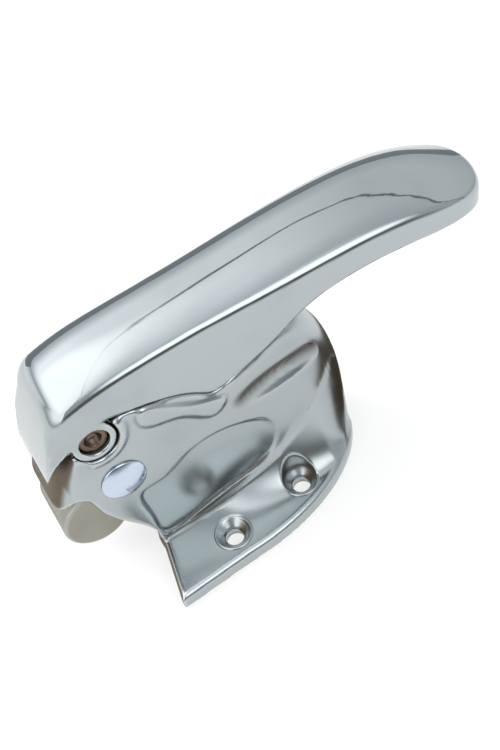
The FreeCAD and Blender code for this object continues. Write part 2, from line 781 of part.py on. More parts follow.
def wire_section(wire_r, centre, tangent):
    """Section of a coil's wire: a polygon with the round wire's area, to keep the mesh light."""
    sector = 2 * math.pi / WIRE_SIDES
    corner_r = wire_r * math.sqrt(sector / math.sin(sector))
    side = tangent.cross(Vector(1, 0, 0))
    corners = []
    for number in range(WIRE_SIDES + 1):
        angle = (number + 0.5) * sector
        out = Vector(math.cos(angle), 0, 0) + side * math.sin(angle)
        corners.append(centre + out * corner_r)
    return Part.makePolygon(corners)


def coil_spring(centre, radius, wire_r, y_from, turns, rear_end, other_leg):
    """A torsion spring round a pivot: its first leg leaves the bottom of the coil rearwards."""
    pitch = spring_pitch(wire_r)
    helix = Part.makeHelix(pitch, pitch * turns, radius)
    tangent = Vector(0, 2 * math.pi * radius, pitch)
    tangent.normalize()
    profile = wire_section(wire_r, Vector(radius, 0, 0), tangent)
    coil = Part.Wire(helix).makePipeShell([profile], True, True)
    coil.rotate(Vector(0, 0, 0), Vector(1, 0, 0), -90)
    coil.rotate(Vector(0, 0, 0), Y_AXIS, 90)
    coil.translate(Vector(centre.x, y_from, centre.z))
    bottom = Vector(centre.x, y_from, centre.z - radius)
    pieces = round_wire(wire_r, [bottom, Vector(rear_end, y_from, bottom.z)])
    pieces += round_wire(wire_r, other_leg)
    return coil.fuse(pieces)


def make_handle_spring():
    """Torsion spring round the handle's pin: one leg in the body, one in the handle's web."""
    last = handle_spring_half()
    front = Vector(PIN_X - PIN_COIL_R, last, PIN_Z)
    corner = Vector(HANDLE_LEG.x, last, HANDLE_LEG.z)
    inside_web = Vector(HANDLE_LEG.x, HUB_SPRING_SPACE / 2 + LEG_IN_SEAT, HANDLE_LEG.z)
    return coil_spring(
        PIVOT,
        PIN_COIL_R,
        PIN_WIRE_R,
        -last,
        HANDLE_SPRING_TURNS,
        MECHANISM_REAR_X + LEG_IN_SEAT,
        [front, corner, inside_web],
    )


def tongue_leg_y():
    """Y of the spring's leg that lies in the tongue's groove."""
    return TONGUE_COIL_Y + spring_pitch(TONGUE_WIRE_R) * TONGUE_SPRING_TURNS


def spring_groove():
    """Space of the groove in the tongue's rear flank for the leg of its spring."""
    width = TONGUE_WIRE_R + LEG_CLEARANCE
    groove = box(0, TONGUE_LEG + 0.5, width, TONGUE_COIL_R - width, FAR)
    groove.translate(Vector(0, tongue_leg_y(), 0))
    groove.rotate(Vector(0, 0, 0), Y_AXIS, -math.degrees(TONGUE_HEADING))
    groove.translate(RIVET)
    return groove


def tongue_outline_hull():
    """Rounded arm from the hub to the lobe of the tongue, full width."""
    lobe = on_side(TONGUE_LOBE_X, TONGUE_LOBE_Z)
    span = lobe - RIVET
    distance = span.Length
    heading = math.atan2(span.z, span.x)
    lean = math.acos((TONGUE_HUB_R - TONGUE_LOBE_R) / distance)
    corners = []
    for side in (1, -1):
        angle = heading + side * lean
        out = Vector(math.cos(angle), 0, math.sin(angle))
        corners.append((RIVET + out * TONGUE_HUB_R, lobe + out * TONGUE_LOBE_R))
    (hub_a, lobe_a), (hub_b, lobe_b) = corners
    edges = [line(hub_a, lobe_a), line(lobe_a, lobe_b), line(lobe_b, hub_b), line(hub_b, hub_a)]
    arm = prism_y(edges, -TONGUE_HALF, TONGUE_HALF)
    discs = [
        cylinder_y(lobe, TONGUE_LOBE_R, -TONGUE_HALF, TONGUE_HALF),
        cylinder_y(RIVET, TONGUE_HUB_R, -TONGUE_HALF, TONGUE_HALF),
    ]
    return arm.fuse(discs).removeSplitter()


def make_tongue():
    """Tongue: rounded lobe, hub on the rivet, tail over the lift pin, space for its spring."""
    body = tongue_outline_hull()

    def on_lobe(edge):
        return edge.BoundBox.YLength < 0.1

    body = fillet_where(body, TONGUE_ROUND, on_lobe)
    tail_low = LIFT_Z + LIFT_PIN_R + LIFT_GAP
    tail = [
        on_side(RIVET_X, RIVET_Z),
        on_side(LIFT_X - 3.4, tail_low + 3.4 * TAIL_SLOPE),
        on_side(LIFT_X + 5.6, tail_low - 5.6 * TAIL_SLOPE),
        on_side(LIFT_X + 5.6, tail_low + 2.6),
        on_side(RIVET_X - 1.0, RIVET_Z + TONGUE_HUB_R),
    ]
    edges = [line(a, b) for a, b in zip(tail, tail[1:] + tail[:1])]
    tail = prism_y(edges, -TAIL_HALF, TAIL_HALF)
    coil_room = cylinder_y(RIVET, TONGUE_HUB_R + COIL_CLEARANCE, TAIL_HALF, TONGUE_HALF - 1.5)
    leg_room_r = TONGUE_COIL_R + TONGUE_WIRE_R + LEG_SWING_ROOM
    leg_room = cylinder_y(RIVET, leg_room_r, TAIL_HALF, TONGUE_COIL_Y + 2 * TONGUE_WIRE_R)
    body = body.cut([coil_room, leg_room, spring_groove()]).fuse(tail)
    bore = cylinder_y(RIVET, SPACER_R + RUNNING_GAP, -FAR / 2, FAR / 2)
    return body.cut(bore).removeSplitter()


def make_tongue_spring():
    """Torsion spring round the spacer: one leg in the body, one in the tongue's groove."""
    out = Vector(math.cos(TONGUE_FLANK), 0, math.sin(TONGUE_FLANK))
    along = Vector(math.sin(TONGUE_FLANK), 0, -math.cos(TONGUE_FLANK))
    root = RIVET + out * TONGUE_COIL_R + Vector(0, tongue_leg_y(), 0)
    return coil_spring(
        RIVET,
        TONGUE_COIL_R,
        TONGUE_WIRE_R,
        TONGUE_COIL_Y,
        TONGUE_SPRING_TURNS,
        MECHANISM_REAR_X + LEG_IN_SEAT,
        [root, root + along * TONGUE_LEG],
    )


def make_spacer():
    """Tube round the rivet that the tongue turns on."""
    return ring(RIVET, RIVET_R + RUNNING_GAP, SPACER_R, -CAVITY_HALF, CAVITY_HALF)


def make_tongue_shim():
    """Thin shim between the far wall of the nose and the tongue."""
    inner = CAVITY_HALF - SHIM_THICKNESS
    return ring(RIVET, SPACER_R + RUNNING_GAP, TONGUE_HUB_R, inner, CAVITY_HALF)


def domed_head(radius, height, y):
    """A rivet head that stands out in -Y from one Y: a short rim and a dome."""
    dome = height * (1.0 - HEAD_RIM_SHARE)
    sphere_r = (radius ** 2 + dome ** 2) / (2 * dome)
    centre = RIVET + Vector(0, y - height + sphere_r, 0)
    disc = cylinder_y(RIVET, radius, y - height - 1.0, y)
    return disc.common(Part.makeSphere(sphere_r, centre))


def make_rivet():
    """Rivet: domed head on the near side, shank, end peened over the washer."""
    shank = cylinder_y(RIVET, RIVET_R, -BODY_HALF, BODY_HALF + RIVET_WASHER_THICKNESS)
    peen_y = -BODY_HALF - RIVET_WASHER_THICKNESS
    peen = mirrored(domed_head(RIVET_R * 1.5, RIVET_HEAD_HEIGHT * 0.7, peen_y))
    return shank.fuse([domed_head(RIVET_HEAD_R, RIVET_HEAD_HEIGHT, -BODY_HALF), peen])


def make_rivet_washer():
    """Washer under the peened end of the rivet."""
    outer = BODY_HALF + RIVET_WASHER_THICKNESS
    return ring(RIVET, RIVET_R + RUNNING_GAP, RIVET_HEAD_R - 0.4, BODY_HALF, outer)


def make_pad():
    """Rubber button that the handle comes to rest on."""
    pad = Part.makeCylinder(PAD_R, PAD_HEIGHT, Vector(PAD_X, 0, PAD_SEAT_Z))
    top = [edge for edge in pad.Edges if edge.BoundBox.ZMin > PAD_SEAT_Z + PAD_HEIGHT - 0.1]
    return pad.makeChamfer(PAD_CHAMFER, top)


def build():
    """Every sub-part by its node name."""
    pin_washer = make_pin_washer()
    tongue_shim = make_tongue_shim()
    return {
        "body": make_body(),
        "handle": make_handle(),
        "handle_pin": make_handle_pin(),
        "near_pin_washer": mirrored(pin_washer),
        "far_pin_washer": pin_washer,
        "handle_spring": make_handle_spring(),
        "lift_pin": make_lift_pin(),
        "tongue": make_tongue(),
        "tongue_spring": make_tongue_spring(),
        "tongue_spacer": make_spacer(),
        "near_tongue_shim": mirrored(tongue_shim),
        "far_tongue_shim": tongue_shim,
        "tongue_rivet": make_rivet(),
        "rivet_washer": make_rivet_washer(),
        "rest_pad": make_pad(),
    }


def main():
    """Write one STEP file for each sub-part."""
    os.makedirs("parts", exist_ok=True)
    for name, shape in build().items():
        shape.exportStep("parts/" + name + ".step")
        print(name, len(shape.Solids), round(shape.Volume, 1), shape.isValid())


main()
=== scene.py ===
"""Dressed model of a showcase door's lever latch.

Sizes are in millimetres in the latch's own frame and become metres when a mesh is made: the
door is z = 0, X runs from the nose to the tip of the handle, and Y is the axis of both pivots.
The castings are drawn as distance fields, so that their plated faces and rounds are smooth. Their
meshes carry two attributes that the finishes read: how the surface bends, and where painted shade
goes in the leaf-shaped dimple.
"""
import logging
import math
from dataclasses import dataclass
from enum import Enum
from typing import Any, Callable, Optional, Sequence, Union

import bpy
import numpy as np
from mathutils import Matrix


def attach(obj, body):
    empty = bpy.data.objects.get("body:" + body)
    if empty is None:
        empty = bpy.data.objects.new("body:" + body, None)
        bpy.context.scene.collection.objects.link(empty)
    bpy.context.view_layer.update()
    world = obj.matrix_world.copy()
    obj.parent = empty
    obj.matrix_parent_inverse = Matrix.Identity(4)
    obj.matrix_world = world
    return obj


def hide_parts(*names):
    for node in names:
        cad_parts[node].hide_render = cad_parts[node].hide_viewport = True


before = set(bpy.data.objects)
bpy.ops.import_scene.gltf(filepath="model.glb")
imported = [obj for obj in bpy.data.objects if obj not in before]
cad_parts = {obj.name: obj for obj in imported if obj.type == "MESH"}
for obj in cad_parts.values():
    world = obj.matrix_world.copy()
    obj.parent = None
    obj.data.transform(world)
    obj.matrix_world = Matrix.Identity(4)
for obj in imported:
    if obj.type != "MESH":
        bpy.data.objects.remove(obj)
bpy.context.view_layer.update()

import openvdb
from bpy.types import Material, NodeSocket, NodeTree, Object
from mathutils import Matrix, Vector

Point = tuple[float, float]
Triple = tuple[float, float, float]
Colour = Triple
Field = np.ndarray
Blend = Union[float, Field]

LOG = logging.getLogger("latch")
MM = 0.001

# X and Z of the handle's pin, the rivet, the lift pin and the middle of the tongue's lobe.
PIN: Point = (-36.0, 58.3)
RIVET: Point = (-33.4, 39.5)
LIFT: Point = (-23.5, 42.0)
LOBE: Point = (-44.5, 25.0)

# X and Y of the near screw holes, and the radii of the holes and of their countersinks.
SCREWS: tuple[Point, Point] = ((-12.7, 23.7), (12.7, 20.0))
SCREW_R = 2.7
SINK_R = 5.1

# Rounds of the castings' edges, from the crispest to the widest that many edges share.
CRISP, FINE, CLEAN, EASED, SOFT, WIDE = 0.3, 0.4, 0.5, 0.6, 0.8, 1.0

# Steepest slope that a height field's distance is corrected for.
STEEPEST = 20.0

# Corners of a square round the origin, counted round its edge.
SQUARE = ((-1, -1), (1, -1), (1, 1), (-1, 1))

# Colours of painted light: a lighter plate on edges is a painted highlight, the dark colours paint
# shade.
EDGE_HIGHLIGHT: Colour = (0.7, 0.73, 0.74)
CREASE_SHADE: Colour = (0.05, 0.045, 0.04)
DIMPLE_SHADE_COLOUR: Colour = (0.05, 0.04, 0.03)


class Body(Enum):
    """The moving bodies of the latch."""

    BASE = "base"
    LEVER = "lever"
    BOLT = "bolt"


class Axis(Enum):
    """The axis that a turned piece is turned about."""

    Y = "y"
    Z = "z"


def around(centre: Point, *offsets: Point) -> list[Point]:
    """Points of a side view that are given from a centre."""
    return [(centre[0] + x, centre[1] + z) for x, z in offsets]


# Lower edge of the handle in side view, from the tip of the cheek to the tip of the paddle.
HANDLE_LOWER = around(PIN, (-15.9, -9.8), (-12.0, -3.6), (-5.0, 1.8), (8.3, 4.5), (17.1, 2.7))
HANDLE_LOWER += around(PIN, (29.5, -3.0), (33.1, -5.4), (41.0, -4.0), (49.4, -0.6), (64.3, 7.1))
HANDLE_LOWER += around(PIN, (78.5, 10.0), (100.0, 9.4), (127.5, 5.6))


def clamped_spline(poles: Sequence[Point], count: int = 900) -> np.ndarray:
    """Points of the even cubic B-spline over some poles, clamped at both ends.

    Args:
        poles: The poles of the curve.
        count: How many points to work out.

    Returns:
        An array with one point in each row.
    """
    spans = len(poles) - 3
    knots = np.concatenate([np.zeros(3), np.arange(spans + 1), np.full(3, spans)])
    t = np.linspace(0.0, spans - 1e-9, count)
    basis = [((t >= a) & (t < b)).astype(float) for a, b in zip(knots, knots[1:])]
    for degree in range(1, 4):
        raised = []
        for i in range(len(basis) - 1):
            left = knots[i + degree] - knots[i]
            right = knots[i + degree + 1] - knots[i + 1]
            rising = (t - knots[i]) / left * basis[i] if left else 0.0
            falling = (knots[i + degree + 1] - t) / right * basis[i + 1] if right else 0.0
            raised.append(rising + falling)
        basis = raised
    return np.stack(basis, axis=1) @ np.array(poles, dtype=float)


def smooth_line(
    points: Sequence[Point],
    closed: bool = False,
    last_slope: Optional[Point] = None,
    samples: int = 14,
) -> list[Point]:
    """A smooth line through some points.

    Args:
        points: The points that the line goes through.
        closed: Whether the line returns to its first point.
        last_slope: Direction of the line at its last point.
        samples: Points on each stretch.

    Returns:
        The points of the line. A closed line doesn't repeat its first point.
    """
    through = np.array(list(points) + ([points[0]] if closed else []), dtype=float)
    step = np.linalg.norm(np.diff(through, axis=0), axis=1)
    count = len(through)
    matrix = np.zeros((count, count))
    right = np.zeros((count, 2))
    chord = np.diff(through, axis=0) / step[:, None]
    for i in range(1, count - 1):
        matrix[i, i - 1 : i + 2] = step[i - 1], 2 * (step[i - 1] + step[i]), step[i]
        right[i] = 6 * (chord[i] - chord[i - 1])
    matrix[0, 0] = 1.0
    matrix[-1, -1] = 1.0
    if closed:
        matrix[0, -1] = -1.0
        matrix[-1, [0, 1, -2, -1]] = 2 * (step[-1] + step[0]), step[0], step[-1], 0.0
        right[-1] = 6 * (chord[0] - chord[-1])
    elif last_slope is not None:
        matrix[-1, [-2, -1]] = step[-1], 2 * step[-1]
        right[-1] = 6 * (np.array(last_slope) - chord[-1])
    bend = np.linalg.solve(matrix, right)
    line = []
    for i, length in enumerate(step):
        for t in np.linspace(0.0, 1.0, samples, endpoint=False):
            u = 1.0 - t
            straight = u * through[i] + t * through[i + 1]
            curved = (u ** 3 - u) * bend[i] + (t ** 3 - t) * bend[i + 1]
            line.append(tuple(straight + curved * length ** 2 / 6))
    return line if closed else line + [tuple(through[-1])]


def half_ellipse(centre_x: float, rear_x: float, half: float, count: int = 90) -> list[Point]:
    """The rounded rear of a plan outline, from -Y round to +Y.

    Args:
        centre_x: X where the outline begins to close.
        rear_x: X of its rear end.
        half: Its half width.
        count: How many points to give.

    Returns:
        The points.
    """
    angles = np.linspace(-math.pi / 2, math.pi / 2, count)
    reach = rear_x - centre_x
    return [(centre_x + reach * math.cos(a), half * math.sin(a)) for a in angles]


@dataclass
class Block:
    """A box of evenly spaced points, and what is measured at them.

    Attributes:
        low: Lowest corner, in millimetres.
        high: Highest corner, in millimetres.
        step: Distance between neighbouring points.
    """

    low: Triple
    high: Triple
    step: float

    def __post_init__(self) -> None:
        """Lay out the coordinates so that they broadcast against each other."""
        axes = [np.arange(a, b, self.step) for a, b in zip(self.low, self.high)]
        self.x = axes[0][:, None, None]
        self.y = axes[1][None, :, None]
        self.z = axes[2][None, None, :]
        self.out = np.abs(self.y)

    def offset(self, centre: Sequence[float]) -> tuple[Field, Field, Field]:
        """Steps from a centre, and from its mirror image on the other side."""
        return self.x - centre[0], self.out - centre[1], self.z - centre[2]

    def side_view(self, points: Sequence[Point]) -> Field:
        """Distance to an outline in X and Z that runs on along Y."""
        return outline_distance(points, self.x, self.z)

    def plan_view(self, points: Sequence[Point]) -> Field:
        """Distance to an outline in X and Y that runs on along Z."""
        return outline_distance(points, self.x, self.y)

    def barrel(self, centre: Point, radius: float) -> Field:
        """Distance to an endless cylinder along Y."""
        return np.hypot(self.x - centre[0], self.z - centre[1]) - radius

    def between(self, low: float, high: float) -> Field:
        """Distance to the two slabs between two distances from the plane of symmetry."""
        return np.maximum(self.out - high, low - self.out)

    def under(self, height: Field) -> Field:
        """Distance to the space under a height field over X and Y.

        Args:
            height: Height at each X and Y, with one layer in Z.

        Returns:
            The distances, shortened where the height is steep.
        """
        along, across = np.gradient(height[:, :, 0], self.step)
        steep = np.sqrt(1.0 + np.clip(along ** 2 + across ** 2, 0.0, STEEPEST ** 2))
        return (self.z - height) / steep[:, :, None]

    def mesh(self, name: str, distance: Field, stain: Optional[Field] = None) -> Object:
        """Turn the zero surface of a distance field into a smooth mesh.

        The mesh carries the attribute "crease": the sum of the surface's two curvatures, for
        each millimetre, above zero in hollows and below zero on edges.

        Args:
            name: Name of the new object.
            distance: Distances at the points of the block, negative inside.
            stain: Amount of painted shade at the points, from 0 to 1, for the attribute
            "stain".

        Returns:
            The new object, in metres.
        """
        shape = (self.x.size, self.y.size, self.z.size)
        values = np.ascontiguousarray(np.broadcast_to(distance, shape), dtype=np.float32)
        grid = openvdb.FloatGrid(background=float(self.step * 4))
        grid.copyFromArray(values)
        points, quads = grid.convertToQuads(isovalue=0.0)
        points = self.settle(values, np.array(points, dtype=float))
        corners = points[quads]
        normal = np.cross(corners[:, 2] - corners[:, 0], corners[:, 3] - corners[:, 1])
        if np.einsum("ij,ij->", normal, corners[:, 0]) < 0.0:
            quads = quads[:, ::-1]
        places = (points * self.step + np.array(self.low)) * MM
        piece = new_mesh(name, places, quads)
        slopes = np.gradient(values, self.step)
        steep = np.sqrt(sum(slope ** 2 for slope in slopes)) + 1e-6
        bend = sum(np.gradient(s / steep, self.step, axis=i) for i, s in enumerate(slopes))
        marks = {"crease": -bend}
        if stain is not None:
            marks["stain"] = np.broadcast_to(stain, shape)
        for mark, table in marks.items():
            attribute = piece.data.attributes.new(mark, "FLOAT", "POINT")
            attribute.data.foreach_set("value", self.read(table, points).astype(np.float32))
        return piece

    @staticmethod
    def read(table: Field, at: np.ndarray) -> np.ndarray:
        """Values of a table between its points.

        Args:
            table: Values on the grid.
            at: Places in steps of the grid.

        Returns:
            One value for each place.
        """
        cell = np.clip(np.floor(at).astype(int), 0, np.array(table.shape) - 2)
        part = at - cell
        total = np.zeros(len(at))
        for corner in range(8):
            offset = np.array([corner & 1, corner >> 1 & 1, corner >> 2 & 1])
            weight = np.prod(np.where(offset == 1, part, 1.0 - part), axis=1)
            index = cell + offset
            total += weight * table[index[:, 0], index[:, 1], index[:, 2]]
        return total

    @classmethod
    def settle(cls, values: Field, points: np.ndarray) -> np.ndarray:
        """Move the points of a mesh onto the zero surface of its field.

        Args:
            values: The field on the grid.
            points: Points in steps of the grid.

        Returns:
            The points after a few small moves along the field's slope.
        """
        slopes = np.gradient(values)
        for _ in range(2):
            height = cls.read(values, points)
            slope = np.stack([cls.read(table, points) for table in slopes], axis=1)
            steep = np.maximum(np.sum(slope ** 2, axis=1), 1e-3)
            move = slope * (height / steep)[:, None]
            points = points - np.clip(move, -0.3, 0.3)
        return points


def outline_distance(points: Sequence[Point], u: Field, v: Field) -> Field:
    """Distance to a closed outline in a plane, negative inside.

    Args:
        points: Corners of the outline.
        u: First coordinate of the points to measure.
        v: Second coordinate of the points to measure.

    Returns:
        The distances, in the shape that u and v broadcast to.
    """
    nearest = np.full(np.broadcast(u, v).shape, np.inf)
    inside = np.zeros(nearest.shape, dtype=bool)
    for (ax, ay), (bx, by) in zip(points, list(points[1:]) + [points[0]]):
        ex, ey = bx - ax, by - ay
        px, py = u - ax, v - ay
        along = np.clip((px * ex + py * ey) / max(ex * ex + ey * ey, 1e-12), 0.0, 1.0)
        nearest = np.minimum(nearest, (px - ex * along) ** 2 + (py - ey * along) ** 2)
        crossing = ((ay > v) != (by > v)) & (u < ex * (v - ay) / ((by - ay) or 1.0) + ax)
        inside ^= crossing
    return np.where(inside, -1.0, 1.0) * np.sqrt(nearest)


def union(a: Field, b: Field, blend: Blend) -> Field:
    """Both of two fields, with a soft inner corner between them."""
    near = np.maximum(blend - np.abs(a - b), 0.0)
    return np.minimum(a, b) - near ** 2 / (4 * blend)


def common(a: Field, b: Field, blend: Blend) -> Field:
    """What two fields share, with a soft outer corner between them."""
    return -union(-a, -b, blend)


def cut(a: Field, b: Field, blend: Blend) -> Field:
    """The first field without the second, with a soft edge."""
    return common(a, -b, blend)


def worked(field: Field, *steps: tuple[Callable, Field, Blend]) -> Field:
    """Shape a field step by step.

    Args:
        field: The field to start from.
        steps: Each one a way to combine two fields, the other field and the round between them.

    Returns:
        The field after all the steps.
    """
    for combine, other, blend in steps:
        field = combine(field, other, blend)
    return field


def ramp(values: Field, start: float, end: float) -> Field:
    """A straight ramp from 0 at the start to 1 at the end."""
    return np.clip((values - start) / (end - start), 0.0, 1.0)


def new_mesh(name: str, places: np.ndarray, faces: Sequence[Sequence[int]]) -> Object:
    """A smooth-shaded mesh object from points in metres.

    Args:
        name: Name of the object.
        places: Points in metres.
        faces: Corners of each face.

    Returns:
        The object, linked to the scene.
    """
    mesh = bpy.data.meshes.new(name)
    mesh.from_pydata(np.asarray(places).tolist(), [], [list(map(int, face)) for face in faces])
    mesh.validate()
    mesh.shade_smooth()
    piece = bpy.data.objects.new(name, mesh)
    bpy.context.scene.collection.objects.link(piece)
    return piece


def turned(
    name: str, profile: Sequence[Point], axis: Axis, centre: Sequence[float], count: int = 80
) -> Object:
    """A piece turned on a lathe.

    Args:
        name: Name of the object.
        profile: Radius and height of each point of the section, round its outline.
        axis: Axis of the lathe.
        centre: Where the axis crosses height 0, in millimetres.
        count: Points round the piece.

    Returns:
        The object, in metres.
    """
    closed = min(radius for radius, _ in profile) > 0.0
    angles = np.arange(count) * 2 * math.pi / count
    places = []
    for radius, height in profile:
        a, b = radius * np.cos(angles), radius * np.sin(angles)
        flat = np.full(count, height)
        columns = (a, flat, -b) if axis is Axis.Y else (a, b, flat)
        places.append(np.stack(columns, axis=1))
    rings = len(profile) if closed else len(profile) - 1
    faces = []
    for ring in range(rings):
        here, there = ring * count, (ring + 1) % len(profile) * count
        for i in range(count):
            j = (i + 1) % count
            faces.append((here + i, here + j, there + j, there + i))
    piece = new_mesh(name, (np.concatenate(places) + np.array(centre)) * MM, faces)
    modifier = piece.modifiers.new("weld", "WELD")
    modifier.merge_threshold = 1e-6
    return settled(piece)


def settled(piece: Object) -> Object:
    """Replace an object by the plain mesh that its modifiers make of it.

    Args:
        piece: A mesh or curve object.

    Returns:
        The mesh object of the same name, without modifiers.
    """
    graph = bpy.context.evaluated_depsgraph_get()
    mesh = bpy.data.meshes.new_from_object(piece.evaluated_get(graph))
    piece.modifiers.clear()
    mesh.name = piece.name
    mesh.shade_smooth()
    if piece.type != "MESH":
        name = piece.name
        bpy.data.objects.remove(piece)
        piece = bpy.data.objects.new(name, mesh)
        bpy.context.scene.collection.objects.link(piece)
    piece.data = mesh
    return piece


def run_tree(piece: Object, tree: NodeTree, values: dict[str, Any]) -> Object:
    """Run a geometry tree on an object.

    Args:
        piece: The object that the tree starts from.
        tree: The tree.
        values: A value for each of the tree's other inputs, by name.

    Returns:
        The plain mesh object that comes out.
    """
    modifier = piece.modifiers.new("tree", "NODES")
    modifier.node_group = tree
    sockets = {item.name: item.identifier for item in tree.interface.items_tree}
    for name, value in values.items():
        modifier[sockets[name]] = value
    return settled(piece)


class Value:
    """What a link between nodes carries; numbers have the usual operators."""

    def __init__(self, tree: "Tree", socket: Optional[NodeSocket]) -> None:
        """Remember the tree and the socket."""
        self.tree = tree
        self.socket = socket

    def maths(self, operation: str, first: Any, second: Any) -> "Value":
        """A Math node on two numbers."""
        return self.tree.node("ShaderNodeMath", {"operation": operation}, {0: first, 1: second})

    def __add__(self, other: Any) -> "Value":
        """Sum."""
        return self.maths("ADD", self, other)

    __radd__ = __add__

    def __mul__(self, other: Any) -> "Value":
        """Product."""
        return self.maths("MULTIPLY", self, other)

    __rmul__ = __mul__

    def __sub__(self, other: Any) -> "Value":
        """Difference."""
        return self.maths("SUBTRACT", self, other)

    def __rsub__(self, other: Any) -> "Value":
        """Difference the other way round."""
        return self.maths("SUBTRACT", other, self)

    def __pow__(self, other: Any) -> "Value":
        """Power."""
        return self.maths("POWER", self, other)

    def or_more(self, other: Any) -> "Value":
        """The greater of two numbers."""
        return self.maths("MAXIMUM", self, other)

    def step(self, low: float, high: float) -> "Value":
        """A soft step from 0 at low to 1 at high."""
        inputs = {"Value": self, "From Min": low, "From Max": high}
        return self.tree.node("ShaderNodeMapRange", {"interpolation_type": "SMOOTHSTEP"}, inputs)


class Tree:
    """A node tree that is filled in from Python expressions."""

    def __init__(self, tree: NodeTree) -> None:
        """Start with an empty tree."""
        self.tree = tree
        tree.nodes.clear()

    @classmethod
    def group(cls, name: str, kinds: dict[str, str]) -> tuple["Tree", dict[str, Value]]:
        """Start a geometry tree with named inputs.

        Args:
            name: Name of the tree.
            kinds: Kind of each input, by its name.

        Returns:
            The tree, and its inputs by name.
        """
        group = bpy.data.node_groups.new(name, "GeometryNodeTree")
        for title, kind in kinds.items():
            group.interface.new_socket(title, in_out="INPUT", socket_type="NodeSocket" + kind)
        group.interface.new_socket("Result", in_out="OUTPUT", socket_type="NodeSocketGeometry")
        tree = cls(group)
        return tree, {title: tree.node("NodeGroupInput", output=title) for title in kinds}

    def close(self, geometry: Value, finish: Value) -> NodeTree:
        """End a geometry tree: make copies real and give the result its material.

        Args:
            geometry: What the tree has built.
            finish: The material.

        Returns:
            The finished tree.
        """
        whole = self.node("GeometryNodeRealizeInstances", inputs={"Geometry": geometry})
        inputs = {"Geometry": whole, "Material": finish}
        dressed = self.node("GeometryNodeSetMaterial", inputs=inputs)
        self.node("NodeGroupOutput", inputs={"Result": dressed})
        return self.tree

    def node(
        self,
        kind: str,
        settings: Optional[dict[str, Any]] = None,
        inputs: Optional[dict[Any, Any]] = None,
        output: Union[int, str] = 0,
    ) -> Value:
        """Add a node, set it up and return one of its outputs.

        Args:
            kind: Type name of the node.
            settings: Properties of the node.
            inputs: Values or links by the name or number of the socket.
            output: Name or number of the output that is wanted.

        Returns:
            The output, ready to be used in expressions.
        """
        node = self.tree.nodes.new(kind)
        for key, setting in (settings or {}).items():
            setattr(node, key, setting)
        for key, given in (inputs or {}).items():
            socket = node.inputs[key]
            if isinstance(given, Value):
                self.tree.links.new(given.socket, socket)
            else:
                socket.default_value = given
        return Value(self, node.outputs[output] if node.outputs else None)

    def mix(self, share: Any, first: Any, second: Any) -> Value:
        """A blend of two colours.

        Args:
            share: How much of the second colour there is, from 0 to 1.
            first: The first colour.
            second: The second colour.

        Returns:
            The blended colour.
        """
        colours = [c if isinstance(c, Value) else (*c, 1.0) for c in (first, second)]
        inputs = {0: share, 6: colours[0], 7: colours[1]}
        return self.node("ShaderNodeMix", {"data_type": "RGBA"}, inputs, 2)

    def place(self, stretch: Triple = (1.0, 1.0, 1.0)) -> Value:
        """Coordinates on the piece, stretched along its axes."""
        where = self.node("ShaderNodeTexCoord", output="Object")
        return self.node("ShaderNodeMapping", inputs={"Vector": where, "Scale": stretch})

    def noise(self, where: Value, scale: float, detail: float) -> Value:
        """Soft noise between 0 and 1."""
        inputs = {"Vector": where, "Scale": scale, "Detail": detail}
        return self.node("ShaderNodeTexNoise", inputs=inputs)

    def bump(self, height: Value) -> Value:
        """A normal tilted by a height in metres."""
        inputs = {"Strength": 1.0, "Distance": 1.0, "Height": height}
        return self.node("ShaderNodeBump", inputs=inputs)

    def glow(self, colour: Colour) -> Value:
        """A plain glowing surface."""
        return self.node("ShaderNodeEmission", inputs={"Color": (*colour, 1.0)})

    def surface(self, shader: Value) -> None:
        """Use a shader as the material's surface."""
        self.node("ShaderNodeOutputMaterial", inputs={"Surface": shader})


def blank_material(name: str) -> tuple[Material, Tree]:
    """A new material and its empty tree.

    Args:
        name: Name of the material.

    Returns:
        The material and its tree.
    """
    material = bpy.data.materials.new(name)
    material.use_nodes = True
    return material, Tree(material.node_tree)


